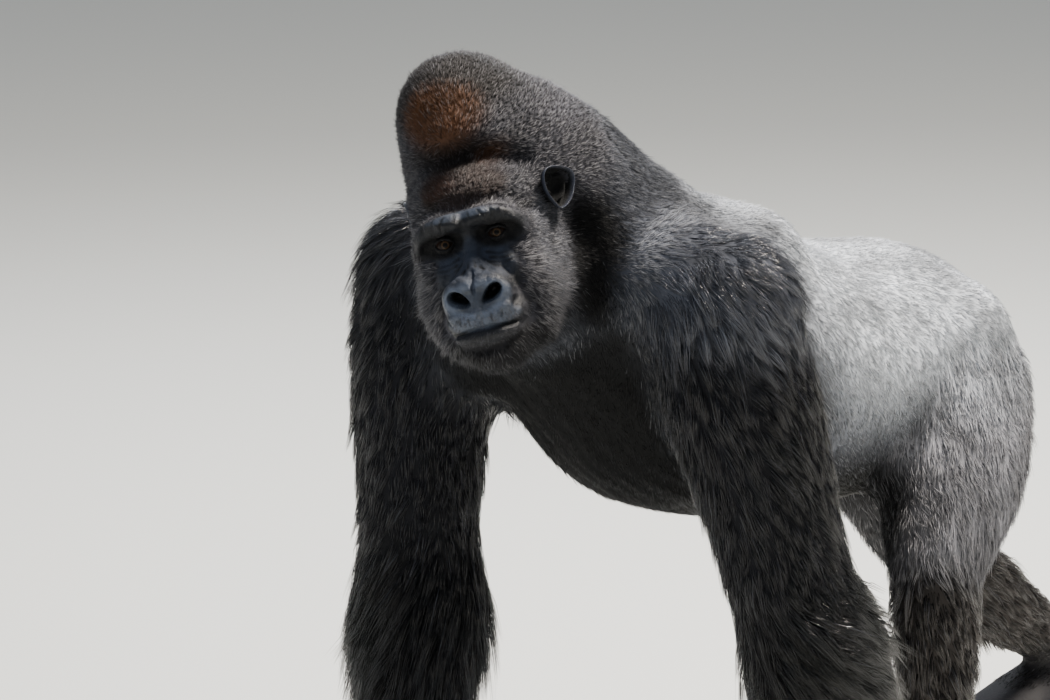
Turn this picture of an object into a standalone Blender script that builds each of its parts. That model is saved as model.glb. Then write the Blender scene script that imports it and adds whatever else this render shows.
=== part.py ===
"""Adult male western lowland gorilla on all fours, life size, in metres.

The animal faces -Y and its left side is +X. Its weight is on the knuckles of both hands and the soles
of both feet, at Z = 0. Overlapping muscle masses are fused into one body, eased, and parted by thin cuts.
"""

import math

import bmesh
import bpy
import numpy as np
from mathutils import Matrix, Vector
from mathutils.bvhtree import BVHTree

# ---- Driving dimensions -------------------------------------------------------------------------

VOXEL = 0.0055  # grain of the fused body
EASE_ALL, EASE_COAT = 6, 30  # rounds of smoothing everywhere, and where a coat lies over the body
PARTING = 0.0005  # width of the cuts between neighbouring nodes
SOCKET_GAP = 0.0004  # clearance round each eye and ear
BODY_TRIANGLES = 4300  # of the fused body, before it is parted
GROUND_SHARE = 0.70  # how far hands and feet share the care given to the face
THIN_LESS = 0.42  # how much the face is spared when faces are thinned out
WELD = 0.00001

SHOULDER = {"left": (0.225, -0.305, 0.790), "right": (-0.225, -0.395, 0.785)}
ELBOW = {"left": (0.285, -0.245, 0.455), "right": (-0.245, -0.395, 0.450)}
WRIST = {"left": (0.305, -0.165, 0.140), "right": (-0.240, -0.420, 0.140)}
HIP = {"left": (0.125, 0.275, 0.600), "right": (-0.125, 0.320, 0.600)}
KNEE = {"left": (0.238, 0.085, 0.400), "right": (-0.165, 0.530, 0.275)}
ANKLE = {"left": (0.232, 0.110, 0.085), "right": (-0.155, 0.800, 0.095)}
OUTWARD = {"left": 1.0, "right": -1.0}
FLOOR_PRESS = 0.0085  # how far soles and knuckles are flattened by the weight on them

EYES_MIDDLE = Vector((0.072, -0.597, 0.912))
HEAD_YAW, HEAD_PITCH, HEAD_ROLL = 35.0, -9.0, -16.0
EYE_RADIUS, EYE_SPACING, EYE_SETBACK = 0.0120, 0.067, 0.005
EAR_ROOT = Vector((0, 0.146, 0.036))  # inside the skull, in the head's own frame
EAR_HALF_SIZE = (0.0110, 0.0185, 0.0245)  # through, across and up
EAR_LEAN = -32.0  # how far the ear faces to the front, in degrees
EAR_REACH = 0.4  # longer than any way out of the skull
EAR_HOLLOW, EAR_RIM, EAR_TAPER = 0.75, 0.72, 0.18  # depth of the cup, its width, and the wider top
HEAD_CUT, HEAD_CUT_NORMAL = (0, 0.176, 0.015), (-0.24, -0.89, 0.38)  # in the head's own frame
NECK_CUT, NECK_CUT_NORMAL = (0, -0.300, 0.885), (0, -0.660, 0.750)

BLACK_COAT = (0.021, 0.020, 0.022)
BROWN_COAT = (0.060, 0.040, 0.030)
BARE_SKIN = (0.016, 0.015, 0.017)
EYE_BROWN = (0.110, 0.045, 0.016)


def clear_scene():
    for thing in list(bpy.data.objects):
        bpy.data.objects.remove(thing, do_unlink=True)


def head_placement():
    """Matrix from the head's own frame (face to -Y, crown to +Z, origin between the eyes) to the world."""
    yaw = Matrix.Rotation(math.radians(HEAD_YAW), 4, "Z")
    pitch = Matrix.Rotation(math.radians(HEAD_PITCH), 4, "X")
    roll = Matrix.Rotation(math.radians(HEAD_ROLL), 4, "Y")
    return Matrix.Translation(EYES_MIDDLE) @ yaw @ pitch @ roll


# ---- Masses: closed shells that overlap -----------------------------------------------------------


def ball(bm, centre, radii, turn=(0, 0, 0), place=Matrix.Identity(4)):
    """An ellipsoid. turn is in degrees about X, Y and Z."""
    spin = Matrix.Identity(4)
    for angle, axis in zip(turn, "XYZ"):
        spin = Matrix.Rotation(math.radians(angle), 4, axis) @ spin
    matrix = place @ Matrix.Translation(centre) @ spin @ Matrix.Diagonal((*radii, 1))
    bmesh.ops.create_uvsphere(bm, u_segments=16, v_segments=10, radius=1, matrix=matrix)


def eased(values, steps):
    """Catmull-Rom through rows of numbers, with this many steps between neighbours."""
    rows = np.array(values, float)
    padded = np.vstack([2 * rows[0] - rows[1], rows, 2 * rows[-1] - rows[-2]])
    out = []
    for i in range(1, len(padded) - 2):
        a, b, c, d = padded[i - 1 : i + 3]
        for t in np.arange(steps) / steps:
            out.append(
                0.5 * (2 * b + (c - a) * t + (2 * a - 5 * b + 4 * c - d) * t**2
                       + (3 * b - a - 3 * c + d) * t**3)
            )
    out.append(rows[-1])
    return np.array(out)


def tube(bm, stations, side=(1, 0, 0), around=18, steps=4, place=Matrix.Identity(4)):
    """A closed, round-ended tube through stations of (x, y, z, radius along side, radius across it)."""
    rows = eased(stations, steps)
    centres, radii = rows[:, :3], np.maximum(rows[:, 3:5], 0.002)
    along = np.gradient(centres, axis=0)
    along /= np.linalg.norm(along, axis=1)[:, None]
    across = np.array(side, float) - (along @ np.array(side, float))[:, None] * along
    across /= np.linalg.norm(across, axis=1)[:, None]
    rings = []

    def ring(i, push, share):
        middle = centres[i] + along[i] * push
        up = np.cross(along[i], across[i])
        points = []
        for k in range(around):
            angle = 2 * math.pi * k / around
            offset = across[i] * radii[i, 0] * math.cos(angle) + up * radii[i, 1] * math.sin(angle)
            points.append(bm.verts.new(place @ Vector(middle + offset * share)))
        rings.append(points)

    cap = [math.radians(a) for a in (62, 32)]
    last = len(rows) - 1
    for angle in cap:
        ring(0, -min(radii[0]) * math.sin(angle), math.cos(angle))
    for i in range(len(rows)):
        ring(i, 0, 1)
    for angle in reversed(cap):
        ring(last, min(radii[last]) * math.sin(angle), math.cos(angle))
    for lower, upper in zip(rings, rings[1:]):
        for k in range(around):
            n = (k + 1) % around
            bm.faces.new((lower[k], lower[n], upper[n], upper[k]))
    bm.faces.new(list(reversed(rings[0])))
    bm.faces.new(rings[-1])


def between(a, b, share):
    return tuple(np.array(a) + (np.array(b) - np.array(a)) * share)


def limb(bm, start, end, profile, side=(1, 0, 0), bow=(0, 0, 0)):
    """A tube from joint to joint. profile rows are (share of the way, radius along side, radius across)."""
    stations = []
    for share, wide, deep in profile:
        swell = math.sin(math.pi * min(max(share, 0), 1))
        point = np.array(between(start, end, share)) + np.array(bow) * swell
        stations.append((*point, wide, deep))
    tube(bm, stations, side)


def add_trunk(bm):
    """Rump to breast along the spine: (x, y, z, half width, half height)."""
    tube(bm, [
        (0.000, 0.335, 0.622, 0.112, 0.104),
        (0.000, 0.295, 0.630, 0.158, 0.144),
        (0.000, 0.240, 0.635, 0.188, 0.162),
        (0.000, 0.150, 0.640, 0.206, 0.170),
        (0.000, 0.030, 0.640, 0.232, 0.182),
        (0.004, -0.090, 0.665, 0.248, 0.205),
        (0.004, -0.190, 0.705, 0.240, 0.218),
        (0.002, -0.280, 0.740, 0.212, 0.188),
        (0.000, -0.360, 0.762, 0.160, 0.140),
        (0.000, -0.420, 0.775, 0.100, 0.092),
    ], around=28)
    ball(bm, (0.0, 0.020, 0.560), (0.190, 0.200, 0.105))  # belly
    tube(bm, [
        (*SHOULDER["left"], 0.100, 0.098),
        (0.115, -0.315, 0.822, 0.120, 0.108),
        (-0.115, -0.350, 0.822, 0.120, 0.108),
        (*SHOULDER["right"], 0.100, 0.098),
    ], side=(0, 1, 0))  # shoulder girdle
    for side, sign in OUTWARD.items():
        fore, hind = SHOULDER[side][1], HIP[side][1]
        ball(bm, (0.095 * sign, fore + 0.120, 0.812), (0.110, 0.140, 0.082), (24, 10 * sign, 0))  # blade
        ball(bm, (0.125 * sign, fore + 0.010, 0.725), (0.100, 0.080, 0.085), (20, 0, 0))  # pectoral
        ball(bm, (0.105 * sign, hind - 0.030, 0.650), (0.100, 0.122, 0.112), (10, 0, 0))  # haunch


def add_neck(bm):
    tube(bm, [
        (0.000, -0.160, 0.820, 0.130, 0.078),
        (0.000, -0.230, 0.848, 0.142, 0.103),
        (0.000, -0.300, 0.882, 0.136, 0.108),
        (0.004, -0.365, 0.922, 0.120, 0.119),
        (0.012, -0.418, 0.960, 0.100, 0.122),
    ], around=22)
    ball(bm, (-0.004, -0.446, 1.008), (0.088, 0.104, 0.092))  # where the crest runs into the neck
    ball(bm, (0.030, -0.430, 0.835), (0.105, 0.075, 0.100), (-20, 0, 12))  # throat


def add_arm(bm, side):
    sign, shoulder, elbow, wrist = OUTWARD[side], SHOULDER[side], ELBOW[side], WRIST[side]
    x, y, z = shoulder
    ball(bm, (x + 0.008 * sign, y + 0.005, z + 0.004), (0.104, 0.115, 0.122), (0, 8 * sign, 0))  # deltoid
    limb(bm, shoulder, elbow, [
        (-0.08, 0.090, 0.105),
        (0.20, 0.104, 0.120),
        (0.50, 0.100, 0.114),
        (0.80, 0.092, 0.104),
        (1.00, 0.088, 0.104),
    ])
    limb(bm, elbow, wrist, [
        (-0.08, 0.084, 0.096),
        (0.20, 0.098, 0.112),
        (0.45, 0.100, 0.116),
        (0.68, 0.088, 0.102),
        (0.88, 0.062, 0.070),
        (1.02, 0.050, 0.050),
    ], bow=(0.004 * sign, 0.016, 0))


def add_hand(bm, side):
    """Knuckle stance: palm upright and facing back, fingers folded, weight on the middle finger bones."""
    sign, (x, y, z) = OUTWARD[side], WRIST[side]
    turn = Matrix.Translation((x, y, -FLOOR_PRESS)) @ Matrix.Rotation(math.radians(-14 * sign), 4, "Z")
    tube(bm, [
        (0, 0.000, z + 0.02, 0.046, 0.042),
        (0, -0.004, 0.110, 0.052, 0.033),
        (0, -0.014, 0.072, 0.056, 0.027),
    ], place=turn)
    fingers = [
        (-0.0435, 0.050, 0.0148), (-0.0145, 0.056, 0.0158), (0.0145, 0.054, 0.0155), (0.0435, 0.044, 0.0138),
    ]
    for across, reach, thick in fingers:
        across *= sign
        spread = 1.04 * across
        tube(bm, [
            (across, -0.014, 0.082, thick + 0.001, thick + 0.002),
            (across, -0.022, 0.056, thick, thick + 0.001),
            (spread, -0.014 - 0.72 * reach, 0.030, thick, thick),
            (spread, -0.014 - reach, thick - 0.003, thick, thick - 0.001),
            (spread, -0.016 - 0.45 * reach, thick - 0.003, thick, thick - 0.002),
            (spread, 0.000, thick + 0.003, thick - 0.002, thick - 0.003),
        ], around=12, steps=3, place=turn)
    inner = -sign
    tube(bm, [
        (0.040 * inner, 0.004, 0.120, 0.020, 0.020),
        (0.060 * inner, -0.004, 0.088, 0.016, 0.016),
        (0.066 * inner, -0.012, 0.055, 0.0125, 0.0135),
    ], around=12, steps=3, place=turn)


def add_leg(bm, side):
    sign, hip, knee, ankle = OUTWARD[side], HIP[side], KNEE[side], ANKLE[side]
    limb(bm, hip, knee, [
        (-0.05, 0.092, 0.118),
        (0.25, 0.102, 0.126),
        (0.50, 0.102, 0.122),
        (0.78, 0.088, 0.098),
        (1.00, 0.072, 0.078),
    ])
    limb(bm, knee, ankle, [
        (-0.06, 0.066, 0.070),
        (0.22, 0.070, 0.078),
        (0.50, 0.064, 0.070),
        (0.80, 0.048, 0.052),
        (1.05, 0.040, 0.044),
    ])
    ball(bm, (hip[0] - 0.004 * sign, hip[1] - 0.006, hip[2] - 0.012), (0.094, 0.094, 0.118))  # buttock


def add_foot(bm, side, heading):
    """Flat sole. The great toe stands off on the inner side. heading is in degrees, outwards from -Y."""
    sign, (x, y, z) = OUTWARD[side], ANKLE[side]
    turn = Matrix.Translation((x, y, -FLOOR_PRESS)) @ Matrix.Rotation(math.radians(heading * sign), 4, "Z")
    tube(bm, [
        (0, 0.052, 0.034, 0.032, 0.034),
        (0, 0.020, 0.046, 0.037, 0.048),
        (0, -0.045, 0.040, 0.044, 0.040),
        (0, -0.100, 0.028, 0.050, 0.028),
        (0.002 * sign, -0.140, 0.019, 0.048, 0.019),
    ], around=20, place=turn)
    tube(bm, [(0, 0.008, z + 0.010, 0.038, 0.044), (0, 0.010, 0.050, 0.036, 0.046)], place=turn)
    toes = [(-0.026, 0.205, 0.0120), (-0.003, 0.208, 0.0118), (0.019, 0.198, 0.0112), (0.039, 0.184, 0.0105)]
    for across, reach, thick in toes:
        across *= sign
        tube(bm, [
            (across, -0.125, 0.020, thick + 0.001, thick + 0.002),
            (across * 1.1, -reach * 0.88, thick + 0.006, thick, thick),
            (across * 1.15, -reach, thick - 0.002, thick, thick - 0.001),
        ], around=10, steps=3, place=turn)
    inner = -sign
    tube(bm, [
        (0.018 * inner, -0.030, 0.032, 0.030, 0.028),
        (0.045 * inner, -0.075, 0.026, 0.021, 0.022),
        (0.072 * inner, -0.112, 0.018, 0.0165, 0.0165),
        (0.090 * inner, -0.140, 0.0145, 0.0165, 0.0150),
    ], around=12, place=turn)


def add_head(bm, place):
    """Skull, crest pad, brow, muzzle, nose and jaw, in the head's own frame."""
    def lump(x, y, z, *radii, turn=(0, 0, 0)):
        ball(bm, (x, y, z), radii, turn, place)

    tube(bm, [
        (0, 0.082, -0.100, 0.074, 0.066),
        (0, 0.086, -0.066, 0.094, 0.082),
        (0, 0.092, -0.026, 0.100, 0.092),
        (0, 0.098, 0.020, 0.098, 0.096),
        (0, 0.106, 0.062, 0.096, 0.094),
        (0, 0.118, 0.100, 0.093, 0.090),
        (0, 0.120, 0.140, 0.086, 0.086),
    ], around=26, place=place)  # skull and temples, seen from above as ovals
    lump(0, 0.108, 0.150, 0.088, 0.094, 0.095)  # crest pad
    lump(0, 0.062, 0.148, 0.060, 0.048, 0.056)  # its rounded front
    lump(0, 0.160, 0.138, 0.096, 0.112, 0.108)  # back of the crest
    lump(0, 0.170, 0.030, 0.110, 0.080, 0.110)  # nape
    lump(0, 0.032, 0.052, 0.064, 0.034, 0.042, turn=(20, 0, 0))  # forehead
    for sign in OUTWARD.values():
        lump(0.072 * sign, 0.122, -0.036, 0.044, 0.064, 0.070, turn=(-18, 0, 0))  # ruff of the cheek
        lump(0.054 * sign, 0.092, -0.088, 0.042, 0.058, 0.050)  # ruff under the jaw
        lump(0.046 * sign, 0.040, -0.072, 0.052, 0.052, 0.056)  # cheek
        lump(0.038 * sign, 0.048, -0.112, 0.048, 0.056, 0.044)  # corner of the jaw
        lump(0.046 * sign, 0.018, -0.030, 0.034, 0.030, 0.028)  # cheekbone
        lump(0.036 * sign, 0.024, -0.002, 0.034, 0.026, 0.026)  # fills the orbit
        lump(0.0215 * sign, -0.048, -0.070, 0.0190, 0.0190, 0.0200)  # nostril wing
        tube(bm, [
            (0, -0.008, 0.019, 0.0150, 0.0150),
            (0.022 * sign, -0.013, 0.024, 0.0150, 0.0155),
            (0.044 * sign, -0.006, 0.022, 0.0145, 0.0155),
            (0.060 * sign, 0.012, 0.010, 0.0145, 0.0155),
            (0.066 * sign, 0.032, -0.014, 0.0170, 0.0180),
        ], side=(0, 0, 1), around=12, place=place)  # brow
    tube(bm, [
        (0, 0.004, 0.010, 0.017, 0.016),
        (0, -0.006, -0.018, 0.016, 0.015),
        (0, -0.022, -0.042, 0.021, 0.017),
        (0, -0.040, -0.064, 0.028, 0.020),
    ], around=12, place=place)  # bridge of the nose
    tube(bm, [
        (0, 0.024, -0.034, 0.042, 0.036),
        (0, 0.008, -0.060, 0.048, 0.046),
        (0, -0.010, -0.088, 0.050, 0.052),
        (0, -0.010, -0.112, 0.052, 0.052),
        (0, 0.002, -0.134, 0.047, 0.046),
        (0, 0.014, -0.146, 0.040, 0.038),
    ], around=22, place=place)  # muzzle, lips and chin
    lump(0, 0.060, -0.112, 0.064, 0.070, 0.046)  # floor of the jaw


# ---- From masses to one eased body ----------------------------------------------------------------


def object_from(bm, name):
    bmesh.ops.recalc_face_normals(bm, faces=bm.faces)
    mesh = bpy.data.meshes.new(name)
    bm.to_mesh(mesh)
    bm.free()
    thing = bpy.data.objects.new(name, mesh)
    bpy.context.scene.collection.objects.link(thing)
    return thing


def bake_modifiers(thing):
    """Makes the object's evaluated mesh its own."""
    graph = bpy.context.evaluated_depsgraph_get()
    mesh = bpy.data.meshes.new_from_object(thing.evaluated_get(graph))
    thing.modifiers.clear()
    old, thing.data = thing.data, mesh
    bpy.data.meshes.remove(old)


def points_of(thing):
    points = np.empty(len(thing.data.vertices) * 3)
    thing.data.vertices.foreach_get("co", points)
    return points.reshape(-1, 3)


def weigh(thing, name, weights):
    group = thing.vertex_groups.new(name=name)
    for index, weight in enumerate(weights):
        if weight > 0.001:
            group.add([index], float(weight), "REPLACE")
    return group


def fine_share(points):
    """1 on the face, less on hands and feet, and 0 on the body, which has no small forms to keep."""
    local = (points - np.array(EYES_MIDDLE)) @ np.array(head_placement().to_3x3())
    face = 1 - np.clip((np.linalg.norm(local - (0, 0.02, -0.05), axis=1) - 0.10) / 0.05, 0, 1)
    ground = 1 - np.clip((points[:, 2] - 0.100) / 0.06, 0, 1)
    return np.maximum(face, GROUND_SHARE * ground)


def fused_body():
    bm = bmesh.new()
    add_trunk(bm)
    add_neck(bm)
    for side in OUTWARD:
        add_arm(bm, side)
        add_hand(bm, side)
        add_leg(bm, side)
    add_foot(bm, "left", 14)
    add_foot(bm, "right", 6)
    add_head(bm, head_placement())
    body = object_from(bm, "body")

    fuse = body.modifiers.new("fuse", "REMESH")
    fuse.mode = "VOXEL"
    fuse.voxel_size = VOXEL
    bake_modifiers(body)
    fine = fine_share(points_of(body))
    weigh(body, "coarse", 1 - fine)
    for group, rounds in (("", EASE_ALL), ("coarse", EASE_COAT)):
        ease = body.modifiers.new("ease", "SMOOTH")
        ease.factor = 0.5
        ease.iterations = rounds
        ease.vertex_group = group
    bake_modifiers(body)
    return body


def thin_out(body):
    """Fewer faces, most of them kept on the face, hands and feet."""
    weigh(body, "detail", 1 - THIN_LESS * fine_share(points_of(body)))
    thin = body.modifiers.new("thin", "DECIMATE")
    thin.ratio = BODY_TRIANGLES / (2 * len(body.data.polygons))
    thin.vertex_group = "detail"
    thin.vertex_group_factor = 1.0
    bake_modifiers(body)


# ---- Parting the body into nodes --------------------------------------------------------------------


def cut_away(bm, point, normal):
    """Removes what lies beyond a plane and closes the section flat."""
    parts = list(bm.verts) + list(bm.edges) + list(bm.faces)
    section = bmesh.ops.bisect_plane(
        bm, geom=parts, dist=1e-6, plane_co=point, plane_no=normal, clear_outer=True
    )["geom_cut"]
    rim = [e for e in section if isinstance(e, bmesh.types.BMEdge)]
    closed = bmesh.ops.edgenet_fill(bm, edges=rim)["faces"]
    bmesh.ops.triangulate(bm, faces=closed)


def copy_of(thing, name):
    twin = bpy.data.objects.new(name, thing.data.copy())
    bpy.context.scene.collection.objects.link(twin)
    return twin


def side_of_plane(thing, point, normal, name):
    """A new object: the part of thing behind the plane, half a parting back from it."""
    part = copy_of(thing, name)
    bm = bmesh.new()
    bm.from_mesh(part.data)
    direction = Vector(normal).normalized()
    cut_away(bm, Vector(point) - direction * PARTING / 2, direction)
    bm.to_mesh(part.data)
    bm.free()
    return part


def split_by_plane(thing, point, normal, behind, ahead):
    near = side_of_plane(thing, point, normal, behind)
    far = side_of_plane(thing, point, -Vector(normal), ahead)
    bpy.data.objects.remove(thing, do_unlink=True)
    return near, far


def combine(thing, cutter, operation):
    change = thing.modifiers.new("combine", "BOOLEAN")
    change.operation = operation
    change.solver = "EXACT"
    change.object = cutter
    bake_modifiers(thing)


def thin_sleeve(stations):
    """A thin wall round a joint, closed and round at its first station and open at its last."""
    walls = []
    for shrink, length in ((0, -1), (PARTING, None)):
        bm = bmesh.new()
        rows = [(x, y, z, wide - shrink, deep - shrink) for x, y, z, wide, deep in stations[:length]]
        tube(bm, rows, around=16, steps=2)
        walls.append(object_from(bm, "wall"))
    combine(walls[0], walls[1], "DIFFERENCE")
    bpy.data.objects.remove(walls[1], do_unlink=True)
    return walls[0]


def arm_sleeve(side):
    shoulder, elbow = SHOULDER[side], ELBOW[side]
    sign = OUTWARD[side]
    top = (shoulder[0] + 0.022 * sign, shoulder[1] + 0.004)
    return [
        (*top, shoulder[2] + 0.030, 0.118, 0.135),
        (*top, shoulder[2] - 0.050, 0.124, 0.142),
        (*between(shoulder, elbow, 0.5), 0.114, 0.136),
        (elbow[0] + 0.010 * sign, elbow[1] + 0.004, elbow[2], 0.116, 0.134),
        (elbow[0] + 0.012 * sign, elbow[1] + 0.010, elbow[2] - 0.040, 0.120, 0.138),
    ]


def leg_sleeve(side):
    profile = [
        (-0.08, 0.088, 0.106),
        (0.12, 0.112, 0.134),
        (0.45, 0.120, 0.144),
        (0.90, 0.118, 0.136),
        (1.10, 0.118, 0.136),
    ]
    rows = []
    for share, wide, deep in profile:
        x, y, z = between(HIP[side], KNEE[side], share)
        rows.append((x + 0.014 * OUTWARD[side], y, z, wide, deep))
    return rows


def nearest(things, point):
    """Takes out of the list the object whose middle is nearest a point."""
    chosen = min(things, key=lambda thing: np.linalg.norm(points_of(thing).mean(axis=0) - np.array(point)))
    things.remove(chosen)
    return chosen


def islands_of(bm):
    """The connected groups of vertices, as lists, the smallest first."""
    unseen, islands = set(bm.verts), []
    while unseen:
        stack, island = [unseen.pop()], []
        while stack:
            vert = stack.pop()
            island.append(vert)
            for edge in vert.link_edges:
                other = edge.other_vert(vert)
                if other in unseen:
                    unseen.remove(other)
                    stack.append(other)
        islands.append(island)
    return sorted(islands, key=len)


def loose_parts(thing):
    """One object per connected piece, the one that reaches furthest along Y first."""
    bm = bmesh.new()
    bm.from_mesh(thing.data)
    islands = [{vert.index for vert in island} for island in islands_of(bm)]
    bm.free()
    reach = points_of(thing)[:, 1]
    islands.sort(key=lambda island: min(reach[i] for i in island) - max(reach[i] for i in island))
    parts = []
    for island in islands:
        part = copy_of(thing, "loose")
        bm = bmesh.new()
        bm.from_mesh(part.data)
        bmesh.ops.delete(bm, geom=[v for v in bm.verts if v.index not in island], context="VERTS")
        bm.to_mesh(part.data)
        bm.free()
        parts.append(part)
    bpy.data.objects.remove(thing, do_unlink=True)
    return parts


def part_body(body, place):
    """Frees the four limbs from the trunk, cuts them at their joints, and cuts off neck and head."""
    bm = bmesh.new()
    for side in OUTWARD:
        for stations in (arm_sleeve(side), leg_sleeve(side)):
            sleeve = thin_sleeve(stations)
            bm.from_mesh(sleeve.data)
            bpy.data.objects.remove(sleeve, do_unlink=True)
    cutters = object_from(bm, "sleeves")
    combine(body, cutters, "DIFFERENCE")
    bpy.data.objects.remove(cutters, do_unlink=True)
    core, *loose = loose_parts(body)
    trunk, front = split_by_plane(core, NECK_CUT, NECK_CUT_NORMAL, "trunk", "front")
    neck, head = split_by_plane(
        front, place @ Vector(HEAD_CUT), place.to_3x3() @ Vector(HEAD_CUT_NORMAL), "neck", "head"
    )
    nodes = [trunk, neck, head]
    for side in OUTWARD:
        arm, leg = nearest(loose, ELBOW[side]), nearest(loose, KNEE[side])
        upper, lower = split_by_plane(
            arm, ELBOW[side], Vector(WRIST[side]) - Vector(SHOULDER[side]), "upper_arm_" + side, "lower"
        )
        forearm, hand = split_by_plane(lower, WRIST[side], (0, 0, -1), "forearm_" + side, "hand_" + side)
        thigh, lower = split_by_plane(
            leg, KNEE[side], Vector(ANKLE[side]) - Vector(HIP[side]), "thigh_" + side, "lower"
        )
        heel_height = (ANKLE[side][0], ANKLE[side][1], ANKLE[side][2] + 0.012)
        shin, foot = split_by_plane(lower, heel_height, (0, 0, -1), "shin_" + side, "foot_" + side)
        for sole in (hand, foot):
            bm = bmesh.new()
            bm.from_mesh(sole.data)
            cut_away(bm, (0, 0, 0), (0, 0, -1))
            bm.to_mesh(sole.data)
            bm.free()
        nodes += [upper, forearm, hand, thigh, shin, foot]
    return nodes, head


def make_eye(side, place):
    bm = bmesh.new()
    centre = (EYE_SPACING / 2 * OUTWARD[side], EYE_SETBACK, 0)
    ball(bm, centre, [EYE_RADIUS] * 3, place=place)
    return object_from(bm, "eye_" + side), centre


def ear_place(side, head, place):
    """Where a line out of the skull comes through the coat, turned to face outwards along that line."""
    turn = Matrix.Rotation(math.radians(EAR_LEAN * OUTWARD[side]), 4, "Z")
    outward = turn @ Vector((OUTWARD[side], 0, 0))
    skull = bmesh.new()
    skull.from_mesh(head.data)
    start = place @ (EAR_ROOT + outward * EAR_REACH)
    spot = BVHTree.FromBMesh(skull).ray_cast(start, place.to_3x3() @ -outward)[0]
    skull.free()
    return Matrix.Translation(spot) @ place.to_3x3().to_4x4() @ turn


def ear_mesh(side, swell, matrix):
    """A small cupped ear. swell widens it all round, for the pocket it sits in."""
    bm = bmesh.new()
    sign = OUTWARD[side]
    bmesh.ops.create_uvsphere(bm, u_segments=16, v_segments=10, radius=1)
    deep, wide, tall = (value + swell for value in EAR_HALF_SIZE)
    for vert in bm.verts:
        x, y, z = vert.co
        hollow = EAR_HOLLOW * max(0, 1 - (y * y + z * z) / EAR_RIM) if x * sign > 0 and swell == 0 else 0
        vert.co = matrix @ Vector(((x - hollow * sign) * deep, y * wide * (1 + EAR_TAPER * z), z * tall))
    return bm


def fit_head_details(head, place):
    """Sockets and pockets in the head, and the eyes and ears in them."""
    nodes = []
    for side in OUTWARD:
        eye, centre = make_eye(side, place)
        bm = bmesh.new()
        ball(bm, centre, [EYE_RADIUS + SOCKET_GAP] * 3, place=place)
        socket = object_from(bm, "socket")
        spot = ear_place(side, head, place)
        ear = object_from(ear_mesh(side, 0, spot), "ear_" + side)
        pocket = object_from(ear_mesh(side, SOCKET_GAP, spot), "pocket")
        for cutter in (socket, pocket):
            combine(head, cutter, "DIFFERENCE")
            bpy.data.objects.remove(cutter, do_unlink=True)
        nodes += [eye, ear]
    return nodes


# ---- Finishing --------------------------------------------------------------------------------------


def keep_largest(thing):
    """Drops slivers that a cut has left loose."""
    bm = bmesh.new()
    bm.from_mesh(thing.data)
    bmesh.ops.remove_doubles(bm, verts=bm.verts, dist=WELD)
    slivers = islands_of(bm)[:-1]
    bmesh.ops.delete(bm, geom=[vert for sliver in slivers for vert in sliver], context="VERTS")
    bmesh.ops.triangulate(bm, faces=bm.faces)
    bmesh.ops.recalc_face_normals(bm, faces=bm.faces)
    bm.to_mesh(thing.data)
    bm.free()


def paint(thing, name, colour, roughness):
    material = bpy.data.materials.new(name)
    material.use_nodes = True
    shader = material.node_tree.nodes["Principled BSDF"]
    shader.inputs["Base Color"].default_value = (*colour, 1)
    shader.inputs["Roughness"].default_value = roughness
    thing.data.materials.clear()
    thing.data.materials.append(material)
    thing.data.shade_smooth()
    thing.data.set_sharp_from_angle(angle=math.radians(50))


def centre_on_origin(nodes):
    """Moves all the meshes so that the middle of their footprint is at the origin."""
    points = np.vstack([points_of(node) for node in nodes])
    low, high = points.min(axis=0), points.max(axis=0)
    shift = Matrix.Translation((-(low[0] + high[0]) / 2, -(low[1] + high[1]) / 2, 0))
    for node in nodes:
        node.data.transform(shift)


def main():
    clear_scene()
    place = head_placement()
    body = fused_body()
    thin_out(body)
    nodes, head = part_body(body, place)
    for node in nodes:
        keep_largest(node)
    nodes += fit_head_details(head, place)
    keep_largest(head)
    centre_on_origin(nodes)
    for node in nodes:
        node.vertex_groups.clear()
        bare = node.name.startswith(("hand", "foot", "ear"))
        if node.name.startswith("eye"):
            paint(node, node.name + "_wet_brown", EYE_BROWN, 0.08)
        elif bare:
            paint(node, node.name + "_bare_skin", BARE_SKIN, 0.45)
        else:
            brown = node.name in ("head", "neck")
            paint(node, node.name + "_coat", BROWN_COAT if brown else BLACK_COAT, 0.70)


main()
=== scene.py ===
import math

import bmesh
import bpy
import numpy as np
from mathutils import Matrix, Vector
from mathutils.bvhtree import BVHTree
from mathutils.kdtree import KDTree


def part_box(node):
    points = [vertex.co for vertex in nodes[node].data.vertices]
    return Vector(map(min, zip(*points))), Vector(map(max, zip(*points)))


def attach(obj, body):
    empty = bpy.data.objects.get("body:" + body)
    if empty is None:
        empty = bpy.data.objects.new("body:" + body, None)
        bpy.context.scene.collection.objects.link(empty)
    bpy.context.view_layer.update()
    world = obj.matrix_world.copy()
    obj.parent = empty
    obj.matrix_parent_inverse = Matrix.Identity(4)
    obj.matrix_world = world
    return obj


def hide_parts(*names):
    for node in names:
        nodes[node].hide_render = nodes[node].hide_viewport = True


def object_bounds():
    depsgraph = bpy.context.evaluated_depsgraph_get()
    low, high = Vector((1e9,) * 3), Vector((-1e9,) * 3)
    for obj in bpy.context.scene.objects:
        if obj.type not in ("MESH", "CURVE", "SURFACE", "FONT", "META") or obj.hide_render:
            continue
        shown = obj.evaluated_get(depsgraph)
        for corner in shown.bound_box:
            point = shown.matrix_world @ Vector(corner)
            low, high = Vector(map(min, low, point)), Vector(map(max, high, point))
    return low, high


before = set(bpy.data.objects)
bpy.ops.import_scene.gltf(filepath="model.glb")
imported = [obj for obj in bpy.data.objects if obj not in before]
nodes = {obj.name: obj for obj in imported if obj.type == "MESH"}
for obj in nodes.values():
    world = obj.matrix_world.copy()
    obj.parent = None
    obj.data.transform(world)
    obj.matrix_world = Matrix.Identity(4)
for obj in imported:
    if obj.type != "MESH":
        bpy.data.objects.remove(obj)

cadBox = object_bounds()
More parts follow.
